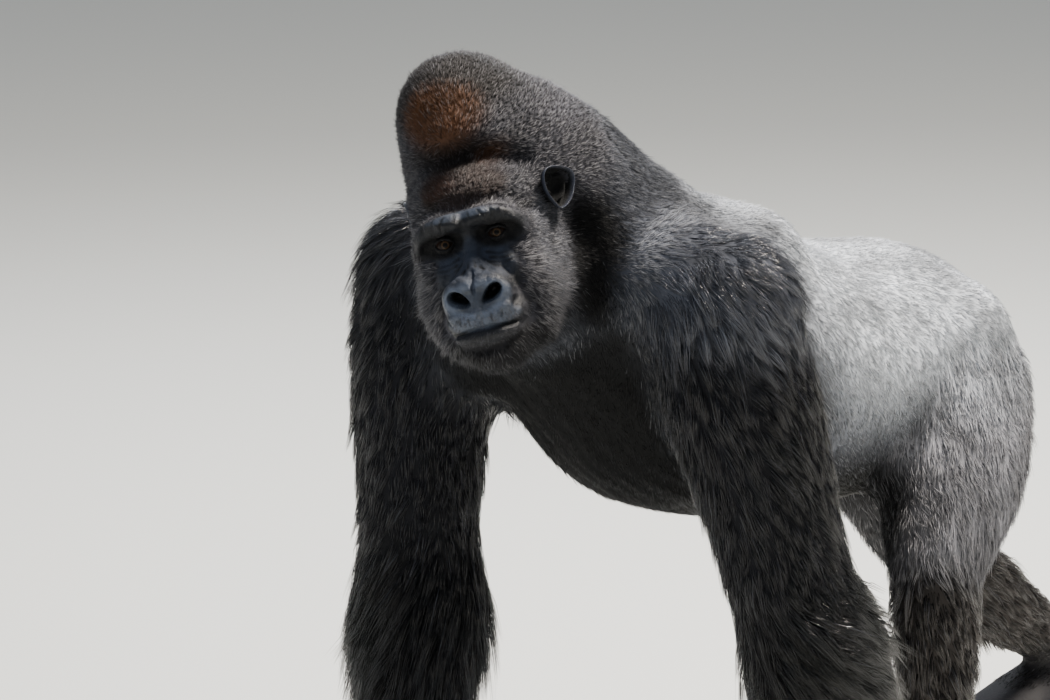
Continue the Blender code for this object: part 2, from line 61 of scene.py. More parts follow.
rng = np.random.default_rng(11)
sides = {"left": 1.0, "right": -1.0}


def linear(hexColour):
    # sRGB hex to the linear values that shaders take
    values = [int(hexColour[i:i + 2], 16) / 255 for i in (1, 3, 5)]
    return np.array([v / 12.92 if v <= 0.04045 else ((v + 0.055) / 1.055) ** 2.4 for v in values])


def smoothStep(low, high, value):
    t = np.clip((value - low) / (high - low), 0, 1)
    return t * t * (3 - 2 * t)


def hump(value):
    # 1 at 0 and down to 0 at 1 and beyond, on both sides
    return np.clip(1 - value ** 2, 0, 1)


def hill(value, middle, width):
    return np.exp(-((value - middle) / width) ** 2)


def unit(vectors):
    return vectors / np.maximum(np.linalg.norm(vectors, axis=-1, keepdims=True), 1e-9)


def turnedBy(degrees):
    return np.array(Matrix.Rotation(math.radians(degrees), 3, "Z"))


def readRows(items, key, width, kind=np.int32):
    flat = np.empty(len(items) * width, kind)
    items.foreach_get(key, flat)
    return flat.reshape(-1, width)


def pointsOf(mesh):
    return readRows(mesh.vertices, "co", 3, float)


def trianglesOf(mesh):
    mesh.calc_loop_triangles()
    return readRows(mesh.loop_triangles, "vertices", 3)


def normalsOf(points, triangles):
    a, b, c = (points[triangles[:, i]] for i in range(3))
    faceNormals = np.cross(b - a, c - a)
    out = np.stack([
        sum(np.bincount(triangles[:, i], faceNormals[:, k], len(points)) for i in range(3)) for k in range(3)
    ], axis=1)
    return unit(out)


class Relaxer:
    # averages any value over the neighbours of each point, as many rounds as asked
    def __init__(self, edges, count):
        self.a = np.concatenate([edges[:, 0], edges[:, 1]])
        self.b = np.concatenate([edges[:, 1], edges[:, 0]])
        self.count = count
        self.valence = np.maximum(np.bincount(self.a, minlength=count), 1)

    def mean(self, values):
        if values.ndim == 1:
            return np.bincount(self.a, values[self.b], self.count) / self.valence
        return np.stack([self.mean(values[:, k]) for k in range(values.shape[1])], axis=1)

    def ease(self, values, rounds, strength=0.5):
        share = strength if np.isscalar(strength) or values.ndim == 1 else np.asarray(strength)[:, None]
        for _ in range(rounds):
            values = values + (self.mean(values) - values) * share
        return values


def meshFrom(name, points, triangles):
    mesh = bpy.data.meshes.new(name)
    mesh.vertices.add(len(points))
    mesh.vertices.foreach_set("co", np.asarray(points, np.float32).ravel())
    mesh.loops.add(len(triangles) * 3)
    mesh.loops.foreach_set("vertex_index", np.asarray(triangles, np.int32).ravel())
    mesh.polygons.add(len(triangles))
    mesh.polygons.foreach_set("loop_start", np.arange(len(triangles), dtype=np.int32) * 3)
    mesh.polygons.foreach_set("use_smooth", np.full(len(triangles), True))
    mesh.update()
    return mesh


def objectFrom(name, mesh):
    thing = bpy.data.objects.new(name, mesh)
    bpy.context.scene.collection.objects.link(thing)
    return thing


def setTints(mesh, colours):
    layer = mesh.color_attributes.new("tint", "FLOAT_COLOR", "POINT")
    rows = np.ones((len(colours), 4), np.float32)
    rows[:, :3] = colours
    layer.data.foreach_set("color", rows.ravel())


def setShares(mesh, name, shares):
    layer = mesh.attributes.new(name, "FLOAT", "POINT")
    layer.data.foreach_set("value", np.asarray(shares, np.float32))


# the head's own frame: x to its left, y backwards, z up, in millimetres from between the eyes
headPose = {"yaw": 35, "pitch": -9, "roll": -16, "eyeSetback": 5}
headTurn = (
    Matrix.Rotation(math.radians(headPose["yaw"]), 3, "Z")
    @ Matrix.Rotation(math.radians(headPose["pitch"]), 3, "X")
    @ Matrix.Rotation(math.radians(headPose["roll"]), 3, "Y")
)
headAxes = np.array(headTurn)
eyeCentres = {side: np.array(sum(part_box("eye_" + side), Vector())) / 2 for side in sides}
headOrigin = (eyeCentres["left"] + eyeCentres["right"]) / 2 - headAxes @ (0, headPose["eyeSetback"] / 1000, 0)


def toHead(points):
    return (np.asarray(points) - headOrigin) @ headAxes * 1000


def fromHead(millimetres):
    return np.asarray(millimetres) / 1000 @ headAxes.T + headOrigin


# joints of the limbs, in metres; they steer the lie of the coat and place the toes and the fingers
skeleton = {
    "left": {
        "shoulder": (0.200, -0.414, 0.790), "elbow": (0.260, -0.354, 0.455), "wrist": (0.280, -0.274, 0.140),
        "hip": (0.100, 0.166, 0.600), "knee": (0.213, -0.024, 0.400), "ankle": (0.207, 0.001, 0.085),
    },
    "right": {
        "shoulder": (-0.250, -0.504, 0.785), "elbow": (-0.270, -0.504, 0.45), "wrist": (-0.265, -0.529, 0.14),
        "hip": (-0.150, 0.211, 0.600), "knee": (-0.190, 0.421, 0.275), "ankle": (-0.180, 0.691, 0.095),
    },
}

# one skin over the whole body
skinSettings = {
    "grain": 0.0066,  # size of the faces on the body, in metres
    "weld": 0.00002,  # corners of the solid model nearer than this are one
    "rounds": {"all": 6, "body": 26, "face": 22, "last": 4, "sculpted": 2},  # smoothing of the facets
    "strength": 0.5,
    "keepEnds": 0.6,  # how much less the hands and the feet are smoothed
    "ends": 0.125,  # hands and feet are below this height
    "faceDepth": 2.0,  # how far the bare face is set back, in millimetres
    # the coat thins towards the floor: its depth in mm, and from two heights up so much more for each metre
    "nearFloor": {"depth": 3, "legs": (0.10, 90), "above": (0.2, 200)},
}
softness = {  # rounds of averaging over the neighbours, each about one face wide
    "part": 14, "border": 8, "depth": 24, "colour": 26, "lie": 24, "swirl": 30, "drift": 80, "coarse": 60,
    "fine": 8, "area": 6, "edge": 4, "wide": 10, "palm": 2,
}
# parts of the face that are cut finer, in the head's frame
faceArea = {"wide": 84, "back": 58, "low": -168, "high": 66, "margin": 8}
fineAreas = {"eyes": (33.5, 23), "nose": (46, -92, -42), "mouth": (60, -128, -100), "back": 30}
bareOvals = [((0, 4), (72, 31)), ((0, -48), (50, 58)), ((0, -98), (52, 34))]  # middle and half size
bareEdge = {"share": (1.12, 0.94), "back": (58, 44)}
patchEdge = (1.15, 0.75)  # shares of the half size where a patch has faded out, and where it is whole
chestFolds = {
    "centre": (0, -430, 640), "half": (150, 160, 170), "run": (1.0, 0.0, 0.35), "apart": 0.034, "deep": 0.004,
    "wander": 1.3, "flat": 0.2,
}
coatKinds = {  # colour; depth, length and width in mm; lift off the skin in degrees; share of grey tips
    "head": ("#38383e", 6, 8.5, 0.66, 27, 0.22),
    "neck": ("#464951", 7, 13, 0.95, 18, 0.26),
    "trunk": ("#54575f", 6, 14, 1.5, 12, 0.24),
    "upper_arm": ("#121318", 15, 46, 1.5, 12, 0.07),
    "forearm": ("#0a0b0e", 18, 72, 1.6, 11, 0.02),
    "hand": ("#121214", 1.5, 11, 1.5, 9, 0.05),
    "thigh": ("#8e8e94", 10, 23, 1.7, 20, 0.30),
    "shin": ("#34302e", 14, 34, 2.0, 20, 0.08),
    "foot": ("#121113", 1.5, 9, 1.5, 8, 0.05),
}  # a tuft is far wider than a hair, for it stands for several dozen


def joinedBody():
    mesh = bpy.data.meshes.new("body")
    bm = bmesh.new()
    for name, node in nodes.items():
        if not name.startswith("ear"):
            bm.from_mesh(node.data)
    bmesh.ops.remove_doubles(bm, verts=bm.verts, dist=skinSettings["weld"])
    bm.to_mesh(mesh)
    bm.free()
    body = objectFrom("body", mesh)
    fuse = body.modifiers.new("fuse", "REMESH")
    fuse.mode = "VOXEL"
    fuse.voxel_size = skinSettings["grain"]
    graph = bpy.context.evaluated_depsgraph_get()
    fused = bpy.data.meshes.new_from_object(body.evaluated_get(graph))
    bpy.data.objects.remove(body, do_unlink=True)
    return fused


def refine(mesh, inside):
    # cuts every edge whose two ends are inside in half
    bm = bmesh.new()
    bm.from_mesh(mesh)
    chosen = inside(pointsOf(mesh))
    edges = [e for e in bm.edges if chosen[e.verts[0].index] and chosen[e.verts[1].index]]
    bmesh.ops.subdivide_edges(bm, edges=edges, cuts=1, use_grid_fill=True)
    bmesh.ops.triangulate(bm, faces=[f for f in bm.faces if len(f.verts) > 4])
    bm.to_mesh(mesh)
    bm.free()


def onFace(points, grow=0):
    x, y, z = toHead(points).T
    deep = (abs(x) < faceArea["wide"] + grow) & (y < faceArea["back"] + grow)
    return deep & (z > faceArea["low"] - grow) & (z < faceArea["high"] + grow)


def nearFeatures(points):
    x, y, z = toHead(points).T
    apart, reach = fineAreas["eyes"]
    chosen = np.hypot(abs(x) - apart, z) < reach
    for wide, low, high in (fineAreas["nose"], fineAreas["mouth"]):
        chosen |= (abs(x) < wide) & (z > low) & (z < high)
    return (y < fineAreas["back"]) & chosen


def onEnds(points):
    return points[:, 2] < skinSettings["ends"]


skinMesh = joinedBody()
refine(skinMesh, lambda p: onFace(p, faceArea["margin"]) | onEnds(p))
refine(skinMesh, onFace)
refine(skinMesh, nearFeatures)
points = pointsOf(skinMesh)
relaxer = Relaxer(readRows(skinMesh.edges, "vertices", 2), len(points))
print("skin: fused and refined,", len(points), "points")

# which node each point of the skin belongs to
cadNames = [name for name in nodes if not name.startswith(("eye", "ear"))]
cadPoints, cadFaces, cadOwner = [], [], []
offset = 0
for index, name in enumerate(cadNames):
    nodePoints, nodeFaces = pointsOf(nodes[name].data), trianglesOf(nodes[name].data)
    cadPoints += [Vector(p) for p in nodePoints]
    cadFaces += (nodeFaces + offset).tolist()
    cadOwner += [index] * len(nodeFaces)
    offset += len(nodePoints)
cadTree = BVHTree.FromPolygons(cadPoints, cadFaces)
owner = np.array([cadOwner[cadTree.find_nearest(p)[2]] for p in points])


def among(*starts):
    chosen = [i for i, name in enumerate(cadNames) if name.startswith(starts)]
    return np.isin(owner, chosen).astype(float)


def spread(column, rounds):
    # one column of coatKinds for each point, blended over the borders between the parts of the body
    rows = [next(row for part, row in coatKinds.items() if name.startswith(part)) for name in cadNames]
    cells = [linear(row[column]) if column == 0 else row[column] for row in rows]
    return relaxer.ease(np.array(cells, float)[owner], rounds)


def patch(places, centre, half):
    # 1 in the middle of an oval patch, 0 outside it, with a soft edge
    return smoothStep(*patchEdge, np.sqrt((((places - centre) / half) ** 2).sum(axis=1)))


def bareFace(local):
    x, y, z = local.T
    near = np.min([np.hypot((x - c[0]) / h[0], (z - c[1]) / h[1]) for c, h in bareOvals], axis=0)
    return smoothStep(*bareEdge["share"], near) * smoothStep(*bareEdge["back"], y)


rounds = skinSettings["rounds"]
faceShare = smoothStep(0, 1, relaxer.ease(onFace(points).astype(float), softness["area"]))
endShare = relaxer.ease(onEnds(points).astype(float), softness["edge"])
strength = skinSettings["strength"]
bodyOnly = strength * (1 - faceShare) * (1 - endShare)
points = relaxer.ease(points, rounds["all"], strength * (1 - skinSettings["keepEnds"] * endShare))
points = relaxer.ease(points, rounds["body"], bodyOnly)
points = relaxer.ease(points, rounds["face"], strength * faceShare)
triangles = trianglesOf(skinMesh)
normals = normalsOf(points, triangles)
bare = bareFace(toHead(points))

# soft folds across the chest
foldHome = patch(points * 1000, chestFolds["centre"], chestFolds["half"])
foldHome = foldHome * relaxer.ease(among("trunk"), softness["edge"])
drift = relaxer.ease(rng.normal(size=len(points)), softness["drift"])
foldPhase = (points @ np.array(chestFolds["run"])) / chestFolds["apart"] * 2 * math.pi
foldPhase = foldPhase + drift / drift.std() * chestFolds["wander"]
foldShape = foldHome * smoothStep(chestFolds["flat"], 1.0, np.sin(foldPhase))
points = points - normals * (foldShape * chestFolds["deep"])[:, None]

# the skin goes in by the depth of the coat, so that the tips of the hair end at the solid model
nearFloor = skinSettings["nearFloor"]
room = nearFloor["depth"] + sum(
    steep * np.maximum(points[:, 2] - start, 0) for start, steep in (nearFloor["legs"], nearFloor["above"])
)
depth = spread(1, softness["depth"]) * (1 - bare) + skinSettings["faceDepth"] * bare
depth = relaxer.ease(np.minimum(depth, room), softness["area"])
points = points - normals * depth[:, None] / 1000
points = relaxer.ease(points, rounds["last"], bodyOnly)
normals = normalsOf(points, triangles)
print("skin: smoothed and set back under the coat")


# face: strokes press folds into the skin or raise them, in millimetres of the head's frame
# each is (line of points, radius, height); a stroke with x other than 0 is repeated on the other side
faceStrokes = {
    "brow": [
        ([(0, -27, 24), (20, -28, 27), (39, -24, 27), (55, -15, 21), (66, 0, 10), (70, 18, -6)], 19, 6.0),
        ([(10, -30, 19), (30, -32, 20), (46, -27, 18), (59, -14, 10), (67, 4, -4)], 9, 3.0),
        ([(0, -32, 36), (0, -32, 12)], 8, -3.0),
        ([(0, -8, 43), (20, -6, 45), (40, 4, 45), (60, 24, 38), (76, 46, 20)], 13, -4.5),
    ],
    "sockets": [
        ([(14, -12, 3), (20, -15, 9), (33, -16, 10), (46, -12, 8), (57, -2, 0), (60, 8, -12)], 12, -6.0),
        ([(12, -16, 0), (14, -20, -14)], 8, -4.0),
        ([(13, -22, -16), (16, -30, -28)], 7, -2.5),
        ([(20, -12, -17), (34, -13, -21), (48, -9, -17)], 7, 1.4),
        ([(18, -12, -21), (31, -13, -26), (46, -12, -27), (58, -6, -19)], 3.5, -1.6),
        ([(22, -14, -29), (38, -14, -33), (54, -10, -30)], 3.2, -1.2),
    ],
    "nose": [
        ([(0, -28, -26), (0, -44, -42)], 13, 2.5),
        ([(7, -60, -57), (18, -54, -50), (30, -50, -54), (38, -46, -67), (38, -48, -80), (33, -54, -90)],
         12, 8.0),
        ([(3, -66, -66), (2, -68, -80), (0, -66, -92)], 8, 3.5),
        ([(24, -38, -42), (37, -38, -50), (47, -30, -64), (49, -30, -80), (42, -38, -94)], 6, -5.5),
        ([(0, -46, -40), (0, -64, -58), (0, -70, -68)], 4, -5.0),
        ([(8, -30, -32), (13, -42, -44)], 4, -1.8),
        ([(17, -28, -34), (26, -36, -44)], 4, -1.6),
    ],
    "mouth": [
        ([(0, -66, -98), (20, -62, -99), (38, -50, -98), (50, -36, -97)], 14, 3.5),
        ([(0, -66, -94), (0, -68, -106)], 6, -1.6),
        ([(0, -62, -122), (20, -58, -122), (36, -46, -120)], 9, 4.5),
        ([(0, -68, -112), (20, -64, -113), (33, -54, -115), (46, -40, -114), (58, -14, -107), (66, -2, -102)],
         4.6, -7.5),
        ([(56, -14, -104), (63, -4, -114)], 6, -3.0),
        ([(0, -52, -138), (22, -48, -137), (36, -36, -133)], 8, -3.5),
        ([(0, -40, -152), (16, -36, -152)], 14, 2.0),
    ],
    "cheeks": [
        ([(31, -24, -36), (43, -16, -50), (50, -18, -68), (60, -8, -88), (63, -2, -104)], 9, -4.5),
        ([(46, -8, -40), (60, -2, -52)], 13, 2.5),
    ],
    "furrows": [
        ([(-44, 8, 52), (-22, -2, 54), (2, -6, 52), (22, -2, 54)], 4.5, -2.4),
        ([(-50, 12, 62), (-26, 2, 65), (0, -2, 63), (18, 2, 64)], 4.5, -2.2),
        ([(-46, 14, 73), (-24, 6, 76), (2, 4, 74)], 4.5, -1.8),
        ([(26, 2, 58), (44, 10, 62), (58, 22, 58)], 4, -1.2),
    ],
    "wrinkles": [
        ([(16, -14, -10), (26, -15, -17), (40, -14, -20), (52, -8, -14)], 2.2, -1.5),
        ([(14, -18, -18), (24, -16, -24), (34, -16, -24)], 2.2, -1.5),
        ([(20, -18, -34), (36, -16, -39), (50, -12, -37)], 2.4, -1.5),
        ([(12, -26, -24), (22, -22, -32), (30, -22, -34)], 2.2, -1.5),
        ([(6, -30, -20), (10, -32, -30)], 2.2, -1.5),
        ([(22, -28, 32), (28, -31, 24)], 2.4, -1.5),
        ([(36, -24, 33), (41, -28, 24)], 2.4, -1.5),
        ([(8, -28, 33), (10, -31, 24)], 2.4, -1.5),
        ([(52, -16, 28), (55, -20, 20)], 2.4, -1.3),
        ([(26, -62, -104), (28, -58, -97)], 2.4, -1.3),
        ([(14, -66, -107), (15, -66, -98)], 2.4, -1.3),
        ([(40, -50, -106), (44, -44, -96)], 2.4, -1.3),
        ([(18, -16, -6), (28, -16, -13), (40, -15, -15), (50, -9, -11)], 2.2, -1.3),
        ([(14, -22, -28), (26, -20, -40), (40, -15, -46)], 2.4, -1.4),
        ([(10, -32, -38), (20, -30, -48), (32, -26, -54)], 2.4, -1.4),
        ([(4, -32, -14), (5, -38, -36)], 2.4, -1.4),
    ],
    "head": [  # the line of the brow ridge, the pad over it and the gap behind the jaw
        ([(-78, 60, 84), (-60, 34, 98), (-30, 20, 104), (0, 16, 104), (30, 22, 102), (58, 40, 92),
          (76, 62, 82)], 20, -12),
        ([(-50, 40, 128), (-20, 22, 134), (20, 22, 134), (50, 38, 128)], 34, 5),
        ([(112, 132, 20), (116, 130, -40), (108, 124, -90), (84, 104, -135)], 30, -13),
    ],
}
noseHoles = {
    "place": (21, -73), "half": (14.8, 8.4), "depth": 26, "lift": 5, "lean": 35, "taper": 0.30,
    "front": (-20, -40), "edge": 1.06, "slope": 0.8, "round": 0.6,
}
strokeReach = 260  # strokes only touch the skin this near the eyes


def lineDistance(local, line):
    # depth counts for less, so a stroke still finds a surface that others have moved
    flat = np.array([1, 0.3, 1])
    local, best = local * flat, np.full(len(local), 1e9)
    for a, b in zip(line, line[1:]):
        a, b = np.array(a) * flat, np.array(b) * flat
        t = np.clip((local - a) @ (b - a) / ((b - a) @ (b - a)), 0, 1)
        best = np.minimum(best, np.linalg.norm(local - a - t[:, None] * (b - a), axis=1))
    return best


def mirrored(line):
    return [(-x, y, z) for x, y, z in line]


def spun(x, z, degrees):
    cosine, sine = math.cos(math.radians(degrees)), math.sin(math.radians(degrees))
    return x * cosine + z * sine, z * cosine - x * sine


def stroke(line, radius, height):
    global points
    local = toHead(points)
    near = np.linalg.norm(local, axis=1) < strokeReach
    push = np.zeros(len(points))
    twice = any(x for x, y, z in line) and min(x for x, y, z in line) >= 0
    for one in [line, mirrored(line)] if twice else [line]:
        push[near] = np.maximum(hump(lineDistance(local[near], one) / radius) ** 2, push[near])
    points = points + normals * (push * height / 1000)[:, None]


def openNostrils():
    global points
    local = toHead(points)
    holes = np.zeros(len(points))
    halfWide, halfTall = noseHoles["half"]
    for sign in (1, -1):
        x, z = local[:, 0] * sign - noseHoles["place"][0], local[:, 2] - noseHoles["place"][1]
        u, w = spun(x, z, noseHoles["lean"])
        r = np.hypot(u / halfWide, w / (halfTall * (1 + noseHoles["taper"] * u / halfWide)))
        pit = np.clip(noseHoles["edge"] - r, 0, noseHoles["slope"]) / noseHoles["slope"]
        pit = (pit * smoothStep(*noseHoles["front"], local[:, 1])) ** noseHoles["round"]
        local[:, 1] += pit * noseHoles["depth"]
        local[:, 2] += pit * noseHoles["lift"]
        holes = np.maximum(holes, pit)
    points = fromHead(local)
    return holes


lids = {
    "opening": (12.6, 3.3, 4.4), "tilt": 5, "thickness": 1.8, "hide": 2.6, "edge": (1.3, 0.4, 0.7),
    "slit": (1.12, 0.92), "cover": (21, 9), "pressBack": (32, 12), "reach": 42, "front": 6,
}


def openLids():
    # wraps the skin over each eyeball and pulls it behind the ball inside an almond opening
    global points
    radius = float(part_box("eye_left")[1].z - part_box("eye_left")[0].z) / 2 * 1000
    local = toHead(points)
    half, upper, lower = lids["opening"]
    edgeAt, edgeWide, edgeHigh = lids["edge"]
    for side, sign in sides.items():
        centre = toHead(eyeCentres[side][None])[0]
        away = local - centre
        u, w = spun(away[:, 0] * sign, away[:, 2], lids["tilt"])
        across = hump(u / half)
        inside = np.where(w > 0, w / np.maximum(upper * across, 0.01), -w / np.maximum(lower * across, 0.01))
        distance = np.linalg.norm(away, axis=1)
        reach = np.hypot(away[:, 0], away[:, 2])
        zone = (distance < lids["reach"]) & (away[:, 1] < lids["front"])
        cover = smoothStep(*lids["cover"], reach)
        wanted = radius + lids["thickness"] + hill(inside, edgeAt, edgeWide) * edgeHigh
        r = np.where(distance < wanted, distance + (wanted - distance) * cover, distance)
        r = np.where(r > wanted, r + (wanted - r) * smoothStep(*lids["pressBack"], reach), r)
        opened = smoothStep(*lids["slit"], inside) * (across > 0)
        r = r + (radius - lids["hide"] - r) * opened
        away = np.where(zone[:, None], away * (r / np.maximum(distance, 1e-6))[:, None], away)
        local = away + centre
    points = fromHead(local)


for strokes in faceStrokes.values():
    for line, radius, height in strokes:
        stroke(line, radius, height)
    normals = normalsOf(points, triangles)
nostrils = openNostrils()
points = relaxer.ease(points, rounds["sculpted"], strength * faceShare)
openLids()
print("face: sculpted")


# gaps between the small toes and between the fingers; a toe is (place across, reach, width of its nail)
toes = [(-0.0290, 0.204, 12), (-0.0035, 0.207, 12), (0.0215, 0.197, 11), (0.0440, 0.183, 10)]
greatToe = (-0.0885, 0.142, 17)
footTurns = {"left": 14, "right": 6}
toeGap = {
    "half": 0.0055, "depth": 0.017, "back": 0.013, "long": 0.048, "root": 0.018, "tip": 0.014, "top": 0.022,
    "flank": 1.5,
}
fingerGap = {
    "places": (-0.030, 0.0, 0.030), "turn": -14, "half": 0.0075, "back": 0.013, "top": (0.090, 0.065),
    "front": (-0.018, -0.032), "lift": 0.006, "lifted": (0.014, 0.004), "flank": 1.3,
}
backwards = np.array((0.0, 1.0, 0.0))


def flatFrom(joint, turn):
    # places over the floor from below a joint, turned with the foot or the hand
    return (points - (*joint[:2], 0)) @ turn


def partToes():
    global points
    for side, sign in sides.items():
        turn = turnedBy(footTurns[side] * sign)
        foot = among("foot_" + side)
        for (near, nearReach, _), (far, farReach, _) in zip(toes, toes[1:]):
            flat = flatFrom(skeleton[side]["ankle"], turn)
            reach = (nearReach + farReach) / 2
            gap = hump((flat[:, 0] - (near + far) / 2 * sign) / toeGap["half"]) ** toeGap["flank"] * foot
            gap *= smoothStep(toeGap["long"] - reach, toeGap["root"] - reach, flat[:, 1])
            push = gap * smoothStep(toeGap["tip"] - reach, -reach, flat[:, 1]) * toeGap["back"]
            points = points + push[:, None] * (turn @ backwards)
            points[:, 2] -= gap * toeGap["depth"] * smoothStep(0.0, toeGap["top"], points[:, 2])


def partFingers():
    # the folded fingers part along their front, from the knuckles down to the floor
    global points
    for side, sign in sides.items():
        turn = turnedBy(fingerGap["turn"] * sign)
        hand = among("hand_" + side) * smoothStep(*fingerGap["top"], points[:, 2])
        flat = flatFrom(skeleton[side]["wrist"], turn)
        for place in fingerGap["places"]:
            gap = hump((flat[:, 0] - place * sign) / fingerGap["half"]) ** fingerGap["flank"] * hand
            push = gap * smoothStep(*fingerGap["front"], flat[:, 1]) * fingerGap["back"]
            points = points + push[:, None] * (turn @ backwards)
            points[:, 2] += gap * fingerGap["lift"] * smoothStep(*fingerGap["lifted"], points[:, 2])


partToes()
partFingers()
normals = normalsOf(points, triangles)
print("toes and fingers: parted")


# colour, lie and length of the coat, one value for each point of the skin
# the pale blue-grey nose colour is the skin of the nose and lips, lifted further as painted sheen
skinColours = {
    "face": "#101217", "under": "#232934", "nose": "#575f6d", "darkLidsAndShade": "#070709", "palm": "#18171b",
    "ear": "#1b1d23",
}
# painted shade: near-black patches in the gap between each cheek and the shoulder, where the shadow falls
shadeBehindCheek = ((116, 150, -60), (58, 58, 104))  # a dark gap between the cheek and the shoulder
shadeBehindOtherCheek = ((-116, 150, -60), (58, 58, 104))
headMarks = [  # colour, middle, half size, strength; in the head's frame
    ("#1d1917", (0, 100, 205), (104, 130, 66), 0.9),
    ("#5c3a20", (-6, 40, 154), (54, 60, 40), 0.85),
    # painted shade: near-black in the groove under the crest pad
    ("#100c0b", (0, 20, 102), (84, 54, 19), 0.9),
    ("#322926", (0, 0, 66), (74, 50, 32), 0.9),
    ("#553419", (50, 30, 97), (30, 34, 13), 0.75),
    ("#3a2419", (-36, 8, 70), (30, 26, 20), 0.6),
    ("#1c1b1e", (78, 70, 10), (18, 34, 44), 0.55),
    ("#131316", (0, 10, -152), (86, 90, 44), 0.85),
    ("#64666e", (98, 60, -40), (36, 60, 84), 0.75),
    # painted shade in the gaps behind the cheeks
    ("#040405", *shadeBehindCheek, 0.97),
    ("#040405", *shadeBehindOtherCheek, 0.97),
]
bodyMarks = [  # the same in the part's own frame, in millimetres
    ("#050505", (0, -440, 590), (190, 200, 190), 0.97),
    # painted shade: near-black low on the trunk, under the belly
    ("#0a0a0b", (0, 0, 480), (230, 420, 110), 0.92),
    # painted shade: near-black between the thighs
    ("#050505", (0, 170, 480), (130, 150, 160), 0.92),
]
faceMarks = [
    # the nose and the upper lip: paler skin, and painted sheen
    ("nose", (0, -60, -74), (46, 34, 25), 0.8),
    ("nose", (0, -55, -100), (54, 44, 14), 0.62),
    # painted sheen along the top of the brow
    ("nose", (0, -20, 34), (72, 40, 9), 0.4),
    ("under", (0, -24, -30), (66, 60, 34), 0.8),
    # painted shade between the nostrils
    ("darkLidsAndShade", (0, -62, -77), (30, 24, 17), 0.6),
    # the dark lids, and painted shade in the eye sockets under the brow
    ("darkLidsAndShade", (36, -4, -1), (31, 26, 18), 0.95),
    ("darkLidsAndShade", (-36, -4, -1), (31, 26, 18), 0.95),
]
saddle = {
    "colour": "#dce2eb", "strength": 0.88, "start": (-0.36, -0.14), "slant": 0.35, "level": 0.8,
    "bottom": (0.55, 0.70),
}
# painted highlight: paler fur with more grey tips over the tops of the shoulders, the left one far more, as
# where light falls
shoulderHighlight = {
    "colour": "#565a64", "strength": 0.75,
    "patches": [((210, -400, 850), (130, 150, 120), 1), ((-220, -480, 850), (120, 130, 110), 0.15)],
}
# painted shade: darker on the inner faces of the thighs, between the legs
innerThighShade = {"colour": "#0c0c0d", "strength": 0.85, "facing": (0.0, 0.6), "below": (0.78, 0.66)}
# the chest is black; the belly and whatever faces down get painted shade in the same near-black
blackChestAndUnderShade = {  # black belly and chest, from the way the skin faces and how far back and how high it is
    "colour": "#050505", "strength": 0.94, "down": (0.10, -0.30), "rump": (0.52, 0.36), "flank": (0.80, 0.68),
    "round": 0.25, "forwards": (-0.15, -0.55), "breast": (-0.30, -0.42), "chestTop": (0.98, 0.90),
}
chestPatch = ((0, -430, 640), (120, 150, 170))
mottling = {"coat": (0.14, 0.05, 0.5, 1.6), "skin": (0.06, 0.05, 0.6, 1.5)}  # coarse, fine, lowest, highest
# painted shade in the creases of the face
folds = {"radius": 2.6, "strength": 0.75}
# dark: painted shade on the head's skin inside each ear; bald: no coat there
earHollow = {"flat": (1, 1, 0.85), "dark": (27, 19), "strength": 0.93, "bald": (19, 25)}
ends = {"palm": (0.02, 0.008), "tint": 0.8, "bare": 0.6}  # hands and feet
# painted shade deep in the nostrils
nostrilShade = {"from": (0.15, 0.7), "strength": 0.92}
underHair = 0.7  # the skin under the coat is darker than its hair

coatLie = {  # the way the hair points, before it is bent along the skin
    "trunk": (0, 0.85, -0.35), "neck": (0, 0.75, -0.65), "hand": (0, -0.3, -1), "foot": (0, -1, -0.3),
}
headLie = {"from": (0, -60, -30), "lean": (0, 0.35, -0.25), "crown": (90, 140), "crownLean": (0, 0.9, 0.3)}
swirlShare = 0.20  # how far the coat strays from its lie
limbs = {
    "upper_arm": ("shoulder", "elbow"), "forearm": ("elbow", "wrist"), "thigh": ("hip", "knee"),
    "shin": ("knee", "ankle"),
}
limbLean = {  # added to the direction from joint to joint
    "upper_arm_left": (0.0, 0.45, 0), "upper_arm_right": (-0.35, 0.05, 0), "forearm_left": (0.1, 1.1, 0.35),
    "forearm_right": (-0.45, -0.2, 0), "thigh_left": (0, 0.5, 0), "thigh_right": (0, 0.45, 0),
    "shin_left": (0, 0.45, 0), "shin_right": (0, 0.1, -0.25),
}
morePale = {"cheek": 0.26, "shoulderHighlight": 0.35, "saddle": 0.2}
# gap: fewer grey tips in the painted shade behind the cheeks
lessPale = {"forehead": 0.8, "crown": 0.6, "gap": 0.95, "chin": 0.7}
headPatches = {
    "cheek": ((0, 30, -90), (130, 110, 80)), "forehead": ((0, 5, 66), (75, 46, 30)),
    "crown": ((0, 60, 170), (110, 90, 95)), "chin": ((0, 10, -152), (86, 90, 40)),
}
foreheadCoat = {"shorter": 0.2, "flatter": 0.4, "finer": 0.2, "denser": 1.6}
chestCoat = {"shorter": 0.2, "thinner": 0.35, "bare": 0.12}
cheekLength = 15
lips = {"middle": -98, "half": (52, 36), "edge": (1.0, 1.25), "back": 40}
stubble = {"below": (-84, -96), "mouth": -112, "clear": (3, 6)}


def mixedIn(colours, value, share):
    value = linear(value) if isinstance(value, str) else value
    return colours + (value - colours) * share[:, None]


def mottled(colours, part):
    coarseShare, fineShare, lowest, highest = mottling[part]
    return colours * np.clip(1 + coarseShare * coarse + fineShare * fine, lowest, highest)[:, None]


local, placed = toHead(points), points * 1000
y, z = points[:, 1], points[:, 2]
bare = bareFace(local)
onHead, onNeck, onTrunk = among("head"), among("neck"), among("trunk")
headShare = relaxer.ease(onHead + onNeck, softness["wide"])

